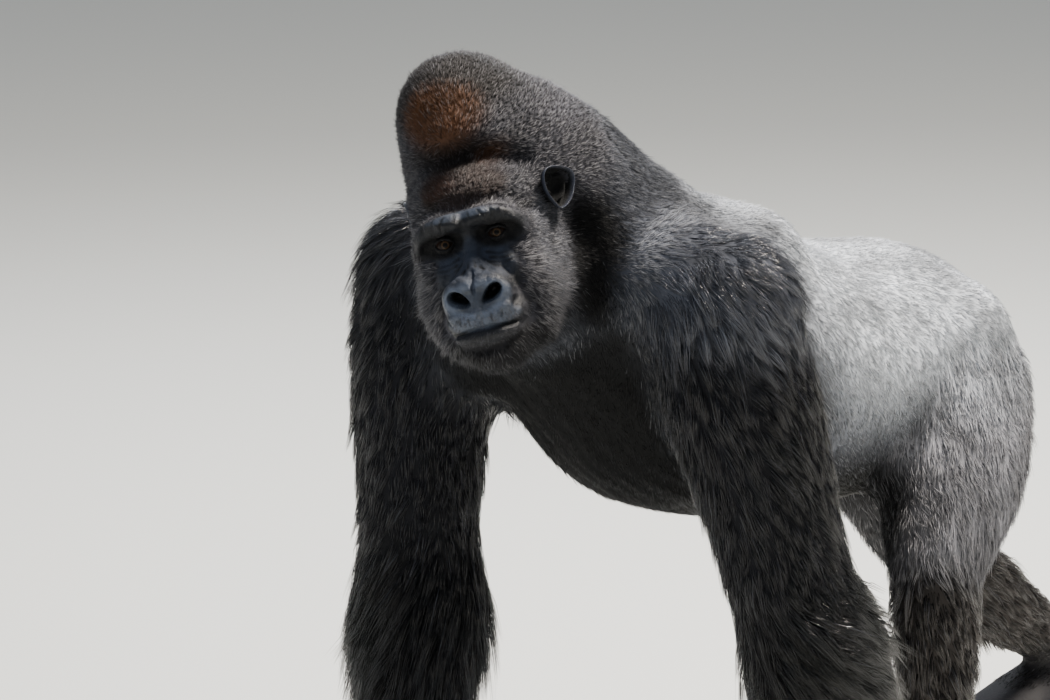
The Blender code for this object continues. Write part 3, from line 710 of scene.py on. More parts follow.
tint = spread(0, softness["colour"])
bodyShare = relaxer.ease(among("trunk", "neck", "thigh"), softness["border"])
saddleShare = smoothStep(*saddle["start"], y + saddle["slant"] * (z - saddle["level"]))
saddleShare = saddleShare * smoothStep(*saddle["bottom"], z)
tint = mixedIn(tint, saddle["colour"], saddle["strength"] * saddleShare * bodyShare)
for marks, where, share in ((bodyMarks, placed, bodyShare), (headMarks, local, headShare)):
    for colour, centre, half, strength in marks:
        tint = mixedIn(tint, colour, patch(where, centre, half) * strength * share)
# painted shade where the trunk's skin faces down, low on the trunk and in front of the rump
under = smoothStep(*blackChestAndUnderShade["down"], normals[:, 2]) * smoothStep(*blackChestAndUnderShade["rump"], y)
under *= smoothStep(*blackChestAndUnderShade["flank"], z + blackChestAndUnderShade["round"] * np.abs(normals[:, 0]))
front = smoothStep(*blackChestAndUnderShade["forwards"], normals[:, 1]) * smoothStep(*blackChestAndUnderShade["breast"], y)
front *= smoothStep(*blackChestAndUnderShade["chestTop"], z)
shaded = relaxer.ease(onTrunk * np.maximum(under, front), softness["border"])
# painted highlight on the shoulders
shoulderHighlightShare = sum(share * patch(placed, centre, half) for centre, half, share in shoulderHighlight["patches"])
tint = mixedIn(tint, shoulderHighlight["colour"], shoulderHighlight["strength"] * np.clip(shoulderHighlightShare, 0, 1) * (1 - onHead))
# painted shade on the inner side of each thigh, and on the front of the right one
for side, sign in sides.items():
    inner = smoothStep(*innerThighShade["facing"], -sign * normals[:, 0])
    if side == "right":  # this leg is stretched back, so its front shows too
        inner = np.maximum(inner, smoothStep(*innerThighShade["facing"], -normals[:, 1]))
    inner = inner * among("thigh_" + side) * smoothStep(*innerThighShade["below"], z)
    inner = relaxer.ease(inner, softness["wide"])
    tint = mixedIn(tint, innerThighShade["colour"], innerThighShade["strength"] * inner)
# paints the black chest and the painted shade under the trunk
tint = mixedIn(tint, blackChestAndUnderShade["colour"], blackChestAndUnderShade["strength"] * shaded)
tint = relaxer.ease(tint, softness["area"])
coarse = relaxer.ease(rng.normal(size=len(points)), softness["coarse"])
fine = relaxer.ease(rng.normal(size=len(points)), softness["fine"])
coarse, fine = coarse / coarse.std(), fine / fine.std()
hairTint = mottled(tint, "coat")

palms = relaxer.ease(among("hand", "foot") * smoothStep(*ends["palm"], z), softness["palm"])
skinTint = mixedIn(hairTint * underHair, skinColours["face"], bare)
for key, centre, half, strength in faceMarks:
    skinTint = mixedIn(skinTint, skinColours[key], patch(local, centre, half) * strength * bare)
# painted shade along the wrinkles and the grooves round the eyes
creaseShade = np.zeros(len(points))
for line, radius, height in faceStrokes["wrinkles"] + faceStrokes["sockets"][1:]:
    if height < 0:
        for one in (line, mirrored(line)):
            creaseShade = np.maximum(creaseShade, hump(lineDistance(local, one) / min(radius, folds["radius"])))
skinTint = skinTint * (1 - folds["strength"] * creaseShade * bare)[:, None]
fromEars = []
for side in sides:
    middle = toHead([sum(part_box("ear_" + side), Vector()) / 2])[0]
    fromEars.append(np.linalg.norm((local - middle) * earHollow["flat"], axis=1))
# painted shade inside the ears
for away in fromEars:
    skinTint = skinTint * (1 - earHollow["strength"] * smoothStep(*earHollow["dark"], away))[:, None]
chest = patch(placed, *chestPatch) * relaxer.ease(onTrunk, softness["area"])
endsShare = relaxer.ease(among("hand", "foot"), softness["area"])
skinTint = mixedIn(skinTint, skinColours["palm"], np.maximum(palms, endsShare * ends["tint"]))
# painted shade: darker the deeper the nostril
skinTint = skinTint * (1 - nostrilShade["strength"] * smoothStep(*nostrilShade["from"], nostrils))[:, None]
skinTint = mottled(skinTint, "skin")
naked = np.clip(bare + chestCoat["bare"] * chest + palms + ends["bare"] * endsShare, 0, 1)

lie = np.zeros((len(points), 3))
crownLean = smoothStep(*headLie["crown"], local[:, 2])[:, None] * np.array(headLie["crownLean"])
faceAway = unit(local - headLie["from"]) + np.array(headLie["lean"]) + crownLean
lie += (faceAway @ headAxes.T) * onHead[:, None]
for key, way in coatLie.items():
    lie += np.array(way) * among(key)[:, None]
trunkLies = [
    ((0, -0.3, -0.75), np.clip(np.abs(normals[:, 0]), 0, 1) ** 2),  # down the flanks
    ((0, -0.9, -1.6), smoothStep(0.20, 0.36, y)),  # down the rump
    ((0, -0.6, -1.2), smoothStep(-0.2, -0.45, y) * smoothStep(0.2, -0.3, normals[:, 2])),  # down the chest
]
for way, share in trunkLies:
    lie += np.array(way) * (onTrunk * share)[:, None]
for side in sides:
    joints = {key: np.array(value) for key, value in skeleton[side].items()}
    for limb, (start, end) in limbs.items():
        key = limb + "_" + side
        lie += (unit(joints[end] - joints[start]) + np.array(limbLean[key])) * among(key)[:, None]
lie = relaxer.ease(lie, softness["lie"])
swirl = unit(relaxer.ease(rng.normal(size=(len(points), 3)), softness["swirl"]))
lie = unit(lie) + swirlShare * swirl
lie = unit(lie - normals * (lie * normals).sum(axis=1)[:, None])

length, width, lift, pale = (spread(column, softness["part"]) for column in (2, 3, 4, 5))
cheek, forehead, crown, chin = (patch(local, *where) * headShare for where in headPatches.values())
length = length + (cheekLength - length) * cheek
length = length * (1 - foreheadCoat["shorter"] * forehead) * (1 - chestCoat["shorter"] * chest)
lift = lift * (1 - foreheadCoat["flatter"] * forehead)
width = width * (1 - foreheadCoat["finer"] * forehead)
# the painted shade behind the cheeks, where grey tips are left out
gaps = patch(local, *shadeBehindCheek) + patch(local, *shadeBehindOtherCheek)
pale = pale * (1 - lessPale["forehead"] * forehead) * (1 - lessPale["crown"] * crown)
pale = pale + morePale["cheek"] * cheek + morePale["shoulderHighlight"] * shoulderHighlightShare
pale = pale + morePale["saddle"] * saddleShare
# grey tips are left out in the painted shade behind the cheeks and under the trunk
pale = pale * np.clip(1 - lessPale["gap"] * gaps, 0, 1) * (1 - shaded)
pale = pale * (1 - lessPale["chin"] * chin)
thick = (1 - bare) * (1 - chestCoat["thinner"] * chest) * (1 - palms)
thick = thick * (1 + foreheadCoat["denser"] * forehead)
mouthSpan = np.hypot(local[:, 0] / lips["half"][0], (local[:, 2] - lips["middle"]) / lips["half"][1])
thick = thick * smoothStep(*lips["edge"], mouthSpan + (local[:, 1] > lips["back"]))
muzzle = bare * smoothStep(*stubble["below"], local[:, 2])
muzzle = muzzle * smoothStep(*stubble["clear"], np.abs(local[:, 2] - stubble["mouth"]))
for away in fromEars:
    thick = thick * smoothStep(*earHollow["bald"], away)
coverage = {"coat": thick, "muzzle": muzzle}
print("coat: marked out")


# ears, cups of bare skin added to the same mesh
earProfile = [  # how far out from the middle, 0 to 1, and height over the coat in mm, from back to front
    (0.20, -17), (0.45, -15), (0.68, -10), (0.88, -3), (0.97, 2.0), (1.00, 5.5), (0.985, 7.8), (0.95, 8.2),
    (0.915, 6.4), (0.885, 1.5), (0.85, -3.5), (0.79, -6.0), (0.72, -7.5), (0.64, -8.5), (0.56, -9.5),
    (0.46, -11), (0.30, -13), (0.0, -14),
]
earShape = {
    "wide": 23.5, "tall": 27.5, "taper": 0.30, "around": 80, "tilt": 14, "lean": {"left": -32, "right": -6},
    "sink": {"left": 0, "right": 0.011}, "corner": 0.13, "eased": 3, "bowl": 0.6,  # share of the rows
    "rim": (0.7, 0.85), "rimTop": 8, "dip": (5.5, 2.0), "lobe": 0.10, "narrow": 0.06,
}
earRidges = {  # share of the way out, turn from the back, height
    "fold": {"out": (0.60, 0.09), "start": -1.2, "arc": (0.6, 2.3, 2.9), "height": 8.5},
    "branch": {"out": (0.46, 0.20), "turn": (1.9, 0.22), "height": 6.5},
    "tragus": {"out": (0.66, 0.12), "turn": (3.6, 0.35), "height": 9},
}


def easedProfile():
    steps = earShape["eased"]
    base = np.array(earProfile, float)
    t = np.linspace(0, len(base) - 1, (len(base) - 1) * steps + 1)
    out = np.stack([np.interp(t, range(len(base)), base[:, k]) for k in (0, 1)], axis=1)
    for _ in range(steps):
        out[1:-1] = out[1:-1] * 0.5 + (out[:-2] + out[2:]) * 0.25
    return out


def ridgeHeight(share, angle):
    fold, branch, tragus = (earRidges[key] for key in ("fold", "branch", "tragus"))
    turn = (angle - fold["start"]) % (2 * math.pi)
    rise, fall, end = fold["arc"]
    arc = smoothStep(0.0, rise, turn) * smoothStep(end, fall, turn)
    ridge = hill(share, *fold["out"]) * arc * fold["height"]
    spur, flap = (hill(angle, *r["turn"]) * hill(share, *r["out"]) * r["height"] for r in (branch, tragus))
    return np.maximum(ridge, spur) + flap


def makeEar(side):
    sign = sides[side]
    middle = sum(np.array(v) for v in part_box("ear_" + side)) / 2
    lean = math.radians(earShape["lean"][side])
    out = headAxes @ (math.cos(lean) * sign, math.sin(lean), 0)
    back = headAxes @ (-math.sin(lean), math.cos(lean), 0)
    back = unit(back - out * (back @ out))
    up = np.cross(out, back) * sign
    up = up if up @ headAxes[:, 2] > 0 else -up
    tilt = math.radians(earShape["tilt"])
    up, back = up * math.cos(tilt) + back * math.sin(tilt), back * math.cos(tilt) - up * math.sin(tilt)
    rows = easedProfile()
    count = earShape["around"]
    angle = np.arange(count) / count * 2 * math.pi
    front, low = np.clip(-np.cos(angle), 0, 1), np.clip(-np.sin(angle), 0, 1)
    dip = front ** 2 * earShape["dip"][0] + low ** 3 * earShape["dip"][1]
    corner = 1 + earShape["corner"] * np.sin(2 * angle) ** 2 * (np.sin(angle) > 0)
    rings = []
    for row, (share, height) in enumerate(rows):
        high = height - smoothStep(*earShape["rim"], share) * dip * (height > 0)
        if row > len(rows) * earShape["bowl"]:
            high = high + ridgeHeight(share, angle)
        u, v = share * np.cos(angle) * corner, share * np.sin(angle) * corner
        wide = earShape["wide"] * (1 + earShape["taper"] * v) * (1 - earShape["lobe"] * low ** 2)
        tall = earShape["tall"] * (1 - earShape["narrow"] * front)
        rings.append((back * (u * wide)[:, None] + up * (v * tall)[:, None] + out * high[:, None]) / 1000)
    grid = np.concatenate(rings) + middle - out * earShape["sink"][side]
    faces = []
    for r in range(len(rows) - 1):
        for k in range(count):
            a, b = r * count + k, r * count + (k + 1) % count
            faces += [(a, b, b + count), (a, b + count, a + count)]
    last = (len(rows) - 1) * count
    faces += [(0, k + 1, k) for k in range(1, count - 1)]
    faces += [(last, last + k, last + k + 1) for k in range(1, count - 1)]
    faces = np.array(faces)
    a, b, c = (grid[faces[:, k]] - middle for k in range(3))
    rim = smoothStep(0, earShape["rimTop"], np.repeat(rows[:, 1], count))
    turnedOut = (a * np.cross(b, c)).sum() > 0
    return grid, faces if turnedOut else faces[:, ::-1], rim


sheen = {  # how polished the bare skin is, 0 to 1, and what changes it: middle, half size, strength
    "plain": 0.55, "ears": 1.0,
    "more": [
        ((0, -60, -76), (48, 40, 30), 0.45), ((0, -34, -40), (34, 50, 24), -0.55),
        ((0, -24, 30), (76, 34, 13), 0.35),
    ],
    "dull": [((36, -4, -8), (34, 40, 24), 0.8), ((-36, -4, -8), (34, 40, 24), 0.8)],
}
# painted shade in the ear's hollow and painted highlight on its rim
earShadeAndHighlight = {"hollow": 0.1, "rim": 3.0}
wet = sheen["plain"] + bare * sum(more * patch(local, centre, half) for centre, half, more in sheen["more"])
for centre, half, less in sheen["dull"]:
    wet = wet * (1 - less * patch(local, centre, half))
wholePoints, wholeFaces, wholeTints, wholeWet = [points], [triangles], [skinTint], [wet]
for side in sides:
    grid, faces, rim = makeEar(side)
    wholeFaces.append(faces + sum(len(p) for p in wholePoints))
    wholePoints.append(grid)
    # the ear's colour is painted shade in the hollow and painted highlight along the raised rim
    wholeTints.append(linear(skinColours["ear"]) * (earShadeAndHighlight["hollow"] + earShadeAndHighlight["rim"] * rim)[:, None])
    wholeWet.append(np.clip(earShadeAndHighlight["hollow"] / earShadeAndHighlight["rim"] + rim, 0, sheen["ears"]))
extra = sum(len(p) for p in wholePoints[1:])
skinMesh = meshFrom("skin", np.concatenate(wholePoints), np.concatenate(wholeFaces))
setTints(skinMesh, np.concatenate(wholeTints))
setShares(skinMesh, "bare", np.concatenate([naked, np.ones(extra)]))
setShares(skinMesh, "wet", np.concatenate(wholeWet))
skin = objectFrom("skin", skinMesh)
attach(skin, "root")
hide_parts(*cadNames, "ear_left", "ear_right")
print("skin: made,", len(skinMesh.polygons), "faces")


# coat: closed three-sided tufts, thin at the tip, that lie over the skin
tuft = {
    "corners": [(-1, 0), (1, 0), (0, 0.55)],  # the low section of a tuft, across and up
    "thinning": 0.8,  # how early it narrows
    "sunk": 0.05,  # share of its length below the skin
    "bow": 1.15,  # how far the raised hair bends back down
    "clear": 0.0012,  # metres that it keeps off the skin
    "hold": 0.8,  # a lock holds tufts this near, as a share of their length
    "gather": 1.3,  # how late along its length a lock closes
    "roll": 0.25,  # how far tufts turn about their own length
    "even": 1.2,  # how strongly bald places keep tufts away
    "tints": {"root": 0.4, "tip": 1.15, "pale": "#b2b1b4", "paleMix": 0.55},
    "bake": 0.0015,  # half the width of a tuft's own place in the bake map
}
tuftVariety = {  # spread, lowest, highest
    "length": (0.22, 0.45, 1.5), "lockLength": (0.18, 0.6, 1.4), "tint": (0.26, 0.4, 1.8),
    "lockTint": (0.14, 0.6, 1.4), "width": (0.2, 0.6, 1.5),
}
liftVariety = (0.35, 2, 70)
# how far the hair may stand past the solid model, in metres
roomLow = np.array(cadBox[0]) - (0.022, 0.02, -0.0006)
roomHigh = np.array(cadBox[1]) + (0.022, 0.02, 0.01)


def treeOf(places):
    tree = KDTree(len(places))
    for index, place in enumerate(places):
        tree.insert(place, index)
    tree.balance()
    return tree


skinTree = treeOf(points)


def varied(key, count):
    amount, lowest, highest = tuftVariety[key]
    return np.clip(1 + amount * rng.normal(size=count), lowest, highest)


bakeMargin = {"start": 0.03, "wide": 0.94, "high": 0.93}


def boxUnwrap(places, facing):
    # six views of the skin side by side, by the way it faces
    axis = np.abs(facing).argmax(axis=1)
    cell = axis * 2 + (facing[np.arange(len(facing)), axis] < 0)
    lo, hi = places.min(axis=0), places.max(axis=0)
    share = (places - lo) / (hi - lo)
    across = np.where(axis == 0, share[:, 1], share[:, 0])
    upward = np.where(axis == 2, share[:, 1], share[:, 2])
    column = cell % 3 + bakeMargin["start"] + bakeMargin["wide"] * across
    row = cell // 3 + bakeMargin["start"] + bakeMargin["high"] * upward
    return np.stack([column / 3, row / 2], axis=1)


def tuftMesh(name, paths, across, up, halfWidth, colours, unwrap):
    # paths is (tuft, station, xyz); every station but the last carries a ring of three
    count, stations = paths.shape[:2]
    rings = stations - 1
    corners = np.array(tuft["corners"])
    share = np.arange(stations) / rings
    profile = (1 - share[:-1]) ** tuft["thinning"]
    offsets = across[:, None, :] * corners[None, :, :1] + up[:, None, :] * corners[None, :, 1:]
    sizes = (halfWidth[:, None] * profile[None])[:, :, None, None]
    ringPoints = paths[:, :rings, None, :] + offsets[:, None] * sizes
    each = rings * 3 + 1
    whole = np.concatenate([ringPoints.reshape(count, rings * 3, 3), paths[:, -1:, :]], axis=1).reshape(-1, 3)
    half = tuft["bake"]
    edge = [-half, half, 0.0]
    pattern, patternUv = [(0, 2, 1)], [((-half, 0), (0, half), (half, 0))]
    for r in range(rings):
        low, high = share[r] * 2 * half, share[r + 1] * 2 * half
        for j in range(3):
            k = (j + 1) % 3
            a, b = r * 3 + j, r * 3 + k
            if r < rings - 1:
                pattern += [(a, b, b + 3), (a, b + 3, a + 3)]
                patternUv.append(((edge[j], low), (edge[k], low), (edge[k], high)))
                patternUv.append(((edge[j], low), (edge[k], high), (edge[j], high)))
            else:
                pattern.append((a, b, rings * 3))
                patternUv.append(((edge[j], low), (edge[k], low), (0.0, high)))
    pattern, patternUv = np.array(pattern), np.array(patternUv)
    faces = (pattern[None] + (np.arange(count) * each)[:, None, None]).reshape(-1, 3)
    mesh = meshFrom(name, whole, faces)
    layer = mesh.uv_layers.new(name="OFBake")
    layer.data.foreach_set("uv", (patternUv[None] + unwrap[:, None, None, :]).astype(np.float32).ravel())
    root, tip = colours
    t = np.concatenate([np.repeat(share[:-1], 3), [1.0]])[None, :, None]
    setTints(mesh, (root[:, None] * (1 - t) + tip[:, None] * t).reshape(-1, 3))
    return mesh


def growCoat(name, start, settings, keep=None):
    corner = triangles[:, 0]
    chosen = among(start)[corner] > 0
    if keep is not None:
        chosen &= keep(points[corner])
    picked = triangles[chosen]
    a, b, c = (points[picked[:, k]] for k in range(3))
    area = np.linalg.norm(np.cross(b - a, c - a), axis=1)
    weight = area * coverage[settings.get("thin", "coat")][picked].mean(axis=1) ** tuft["even"]
    count = settings["tufts"]
    drawn = np.searchsorted(np.cumsum(weight) / weight.sum(), rng.random(count))
    rows = picked[drawn.clip(0, len(picked) - 1)]
    r1, r2 = np.sqrt(rng.random(count)), rng.random(count)
    share = np.stack([1 - r1, r1 * (1 - r2), r1 * r2], axis=1)

    def at(values):
        return (values[rows] * (share if values.ndim == 1 else share[:, :, None])).sum(axis=1)

    root, out = at(points), unit(at(normals))
    way = unit(at(lie) + rng.normal(size=(count, 3)) * settings["stray"])
    way = unit(way - out * (way * out).sum(axis=1)[:, None])
    # locks: tufts that share a lock lean to one tip
    lockCount = max(count // settings["lockSize"], 1)
    lockTree = treeOf(root[:lockCount])
    lock = np.array([lockTree.find(place)[1] for place in root])
    size = at(length) / 1000 * settings.get("longer", 1) * varied("length", count)
    size = size * varied("lockLength", lockCount)[lock]
    liftAmount, liftLow, liftHigh = liftVariety
    raised = np.radians(np.clip(at(lift) * (1 + liftAmount * rng.normal(size=count)), liftLow, liftHigh))
    joints = settings["joints"]
    path = [root - out * (tuft["sunk"] * size)[:, None]]
    for step in range(joints):
        t = step / joints
        angle = raised * (1 - tuft["bow"] * t)
        heading = way * np.cos(angle)[:, None] + out * np.sin(angle)[:, None]
        heading = heading + np.array([0, 0, -1.0]) * settings.get("droop", 0) * t
        place = path[-1] + unit(heading) * (size / joints)[:, None]
        if joints > 1:
            near = np.array([skinTree.find(p)[1] for p in place])
            height = ((place - points[near]) * normals[near]).sum(axis=1)
            place = place + normals[near] * np.maximum(tuft["clear"] - height, 0)[:, None]
        path.append(place)
    path = np.stack(path, axis=1)
    pull = settings["pull"] * (np.arange(joints + 1) / joints) ** tuft["gather"]
    gap = np.linalg.norm(root[lock] - root, axis=1)
    hold = (gap < size * tuft["hold"])[:, None] * pull[None]
    path = np.clip(path + (path[lock] - path) * hold[:, :, None], roomLow, roomHigh)
    across = unit(np.cross(out, way) + rng.normal(size=(count, 3)) * tuft["roll"])
    tints = tuft["tints"]
    base = at(hairTint) * varied("tint", count)[:, None]
    base = base * varied("lockTint", lockCount)[lock][:, None]
    grey = (rng.random(count) < settings.get("paleShare", at(pale)))[:, None]
    greyTint = linear(settings.get("pale", tints["pale"])) * tints["paleMix"]
    tip = np.where(grey, base * (1 - tints["paleMix"]) + greyTint, base * tints["tip"])
    halfWidth = at(width) * settings.get("finer", 1) / 2000 * varied("width", count)
    mesh = tuftMesh(name, path, across, out, halfWidth, (base * tints["root"], tip), boxUnwrap(root, out))
    coat = objectFrom(name, mesh)
    coat.data.materials.append(materials[settings["material"]])
    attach(coat, "root")
    print(name + ":", count, "tufts,", len(mesh.polygons), "faces")


# surfaces

def addNode(tree, kind, settings=None, links=None):
    # settings are the node's own values or its inputs, links are input: (node, output)
    node = tree.nodes.new(kind)
    for key, value in (settings or {}).items():
        if isinstance(key, int) or key in node.inputs:
            node.inputs[key].default_value = value
        else:
            setattr(node, key, value)
    for key, (source, output) in (links or {}).items():
        tree.links.new(source.outputs[output], node.inputs[key])
    return node


def newMaterial(name, settings):
    # values that are the same all over go straight onto the shader
    material = bpy.data.materials.new(name)
    material.use_nodes = True
    tree = material.node_tree
    surface = tree.nodes["Principled BSDF"]
    for key, value in settings.items():
        surface.inputs[key].default_value = value
    return material, tree, surface, {"Vector": (addNode(tree, "ShaderNodeTexCoord"), "Object")}


def perMetre(millimetres):
    return 1000 / millimetres


def tintedBy(tree, surface, shading):
    # the colours of the mesh, made darker and lighter by a pattern
    tint = addNode(tree, "ShaderNodeAttribute", {"attribute_name": "tint"})
    colour = addNode(
        tree, "ShaderNodeVectorMath", {"operation": "SCALE"}, {0: (tint, "Color"), "Scale": (shading, 0)},
    )
    tree.links.new(colour.outputs[0], surface.inputs["Base Color"])


# fur and hair are solid keratin strands, IOR 1.55; short fur scatters light, so it looks dry and soft, the
# silver guard hairs gleam a little, and the long arm hair lies flat and greasy, with streaks of shine
hairKinds = {
    "short_grizzled_fur": {"roughness": 0.58, "gloss": 0.2, "shade": 0.30},
    "silver_saddle_fur": {"roughness": 0.50, "gloss": 0.25, "shade": 0.25},
    "long_glossy_black_hair": {"roughness": 0.22, "gloss": 0.45, "shade": 0.30},
}
hairStreak = 1.11  # mm; a strand is 0.1 mm, too fine to show, so it is drawn ten times as coarse
materials = {}
for name, kind in hairKinds.items():
    material, tree, surface, place = newMaterial(
        name, {"Roughness": kind["roughness"], "IOR": 1.55, "Specular IOR Level": kind["gloss"]},
    )
    streaks = addNode(tree, "ShaderNodeTexNoise", {"Scale": perMetre(hairStreak), "Detail": 2.0}, place)
    limits = {"To Min": 1 - kind["shade"], "To Max": 1 + kind["shade"]}
    tintedBy(tree, surface, addNode(tree, "ShaderNodeMapRange", limits, {"Value": (streaks, "Fac")}))
    materials[name] = material

# hairless skin is creased like leather, IOR 1.45, with a thin film of grease that gives a satin shine, most
# on the nose and the brow; where hair covers it, it is dull and streaked along the hair
leather = {
    "pore": 2.38,  # mm; real pores are about 0.5 mm apart, too fine to show
    "grain": 0.667, "crease": 5.26, "blotch": 11.1,  # mm
    "strand": (2.0, 16.67, 6.25),  # mm across, along and down the hair; a strand of 0.1 mm would not show
    "relief": 0.0010, "press": 0.6,  # metres, and how much of it shows
    "poresTo": 0.6, "creasesTo": 2.2,  # depth of the pores and the creases against the grain
    "hairShade": (0.75, 1.25), "bareShade": (0.85, 1.2), "roughBare": (0.44, 0.60), "roughHair": 0.95,
    "polish": (1.55, 0.46),  # roughness where dry and where greasy
}
skinLeather, tree, surface, place = newMaterial(
    "wrinkled_black_skin", {"IOR": 1.45, "Specular IOR Level": 0.34},
)
bareNode, wetNode = (addNode(tree, "ShaderNodeAttribute", {"attribute_name": key}) for key in ("bare", "wet"))
pores = addNode(tree, "ShaderNodeTexVoronoi", {"Scale": perMetre(leather["pore"])}, place)
grain, blotch, crease = (
    addNode(tree, "ShaderNodeTexNoise", {"Scale": perMetre(leather[key]), **noise}, place)
    for key, noise in (
        ("grain", {"Detail": 3}), ("blotch", {"Detail": 4}), ("crease", {"Detail": 5, "Distortion": 1.4}),
    )
)
combed = addNode(tree, "ShaderNodeMapping", {"Scale": [perMetre(v) for v in leather["strand"]]}, place)
strands = addNode(
    tree, "ShaderNodeTexNoise", {"Scale": 1.0, "Detail": 4.0, "Roughness": 0.7}, {"Vector": (combed, 0)},
)
spans = {}
for key, node in (("hairShade", strands), ("bareShade", blotch), ("roughBare", blotch), ("polish", wetNode)):
    limits = {"To Min": leather[key][0], "To Max": leather[key][1]}
    spans[key] = addNode(tree, "ShaderNodeMapRange", limits, {"Value": (node, "Fac")})
deepen = {"operation": "MULTIPLY_ADD"}
underCrease = {0: (pores, "Distance"), 2: (grain, "Fac")}
fineRelief = addNode(tree, "ShaderNodeMath", {**deepen, 1: leather["poresTo"]}, underCrease)
creased = {0: (crease, "Fac"), 2: (fineRelief, 0)}
bareRelief = addNode(tree, "ShaderNodeMath", {**deepen, 1: leather["creasesTo"]}, creased)
byBareness = {"Factor": (bareNode, "Fac")}
relief = addNode(tree, "ShaderNodeMix", {}, {**byBareness, "A": (strands, "Fac"), "B": (bareRelief, 0)})
pressed = {"Strength": leather["press"], "Distance": leather["relief"]}
bump = addNode(tree, "ShaderNodeBump", pressed, {"Height": (relief, 0)})
tree.links.new(bump.outputs[0], surface.inputs["Normal"])
shades = {**byBareness, "A": (spans["hairShade"], 0), "B": (spans["bareShade"], 0)}
tintedBy(tree, surface, addNode(tree, "ShaderNodeMix", {}, shades))
roughness = {**byBareness, "B": (spans["roughBare"], 0)}
rough = addNode(tree, "ShaderNodeMix", {"A": leather["roughHair"]}, roughness)
polish = {0: (rough, 0), 1: (spans["polish"], 0)}
polished = addNode(tree, "ShaderNodeMath", {"operation": "MULTIPLY"}, polish)
tree.links.new(polished.outputs[0], surface.inputs["Roughness"])
skin.data.materials.append(skinLeather)


# coat pieces
short = {"material": "short_grizzled_fur", "joints": 1, "lockSize": 7, "pull": 0.45, "stray": 0.22}
silver = dict(short, material="silver_saddle_fur", pull=0.4, pale="#dadde4")
longHair = {
    "material": "long_glossy_black_hair", "joints": 2, "lockSize": 14, "pull": 0.72, "stray": 0.10,
    "droop": 0.5, "pale": "#5a5b64",
}
handHair = dict(short, material="long_glossy_black_hair", tufts=4500)
stubbleHair = dict(short, tufts=1000, thin="muzzle", pale="#9a9aa2", paleShare=0.7, longer=0.5, finer=0.6)
bodyCoats = [  # tufts, and how much longer they are, on the left and on the right
    ("trunk", "silver_saddle_coat", silver, (33000, 28000), (1, 1)),
    ("upper_arm", "black_coat", longHair, (16000, 11000), (1, 1)),
    ("forearm", "black_coat", longHair, (14500, 13500), (1, 1.25)),
    ("thigh", "silver_saddle_coat", dict(short, joints=2), (10000, 7000), (1, 1)),
    ("shin", "black_coat", dict(longHair, lockSize=10), (5000, 5000), (1, 1)),
]
crestFrom, muzzleTop = 60, -80  # mm in the head's frame
palmTop, soleTop = 0.055, 0.045  # metres over the floor
trunkSides = {"left": lambda p: p[:, 0] >= 0, "right": lambda p: p[:, 0] < 0}

growCoat("coat_crest", "head", dict(short, tufts=44000, pale="#a4a2a5"),
         lambda p: toHead(p)[:, 2] >= crestFrom)
growCoat("coat_cheeks", "head", dict(short, tufts=34000),
         lambda p: toHead(p)[:, 2] < crestFrom)
growCoat("coat_muzzle", "head", stubbleHair, lambda p: toHead(p)[:, 2] < muzzleTop)
growCoat("coat_neck", "neck", dict(short, tufts=34000, pale="#aeb0b6"))
for part, slot, settings, tufts, longer in bodyCoats:
    for k, side in enumerate(sides):
        start, keep = (part, trunkSides[side]) if part == "trunk" else (part + "_" + side, None)
        own = dict(settings, tufts=tufts[k], longer=longer[k])
        growCoat("coat_" + part + "_" + side, start, own, keep)
growCoat("coat_hands", "hand", handHair, lambda p: p[:, 2] > palmTop)
growCoat("coat_feet", "foot", handHair, lambda p: p[:, 2] > soleTop)


# eyes: a dark ball with an amber iris under a clear, slightly bulging front
eyeSettings = {
    "iris": 6.3, "pupil": 3.2, "bulge": 0.9, "gaze": (0.15, -0.985, -0.08), "around": 96, "rings": 72,
    "colours": {
        "pupil": "#050404", "inner": "#473624", "outer": "#1c150f", "edge": "#0d0806", "white": "#1c130f",
    },
    "fades": {"outer": (0.35, 0.95), "edge": (0.84, 0.98), "white": (1.0, 1.14), "pupil": (1.12, 0.95)},
    "rays": ((9, 14, 23, 31), 0.12), "crowding": 1.6, "limbEdge": 1.25, "fibre": 0.714,
    "backOfBall": 100,  # counts as this far out, so that it takes the last colour
    "fibreShade": {"To Min": 0.7, "To Max": 1.3},
}  # millimetres; the fibres of an iris are about 0.05 mm, too fine to show, so they are drawn coarser


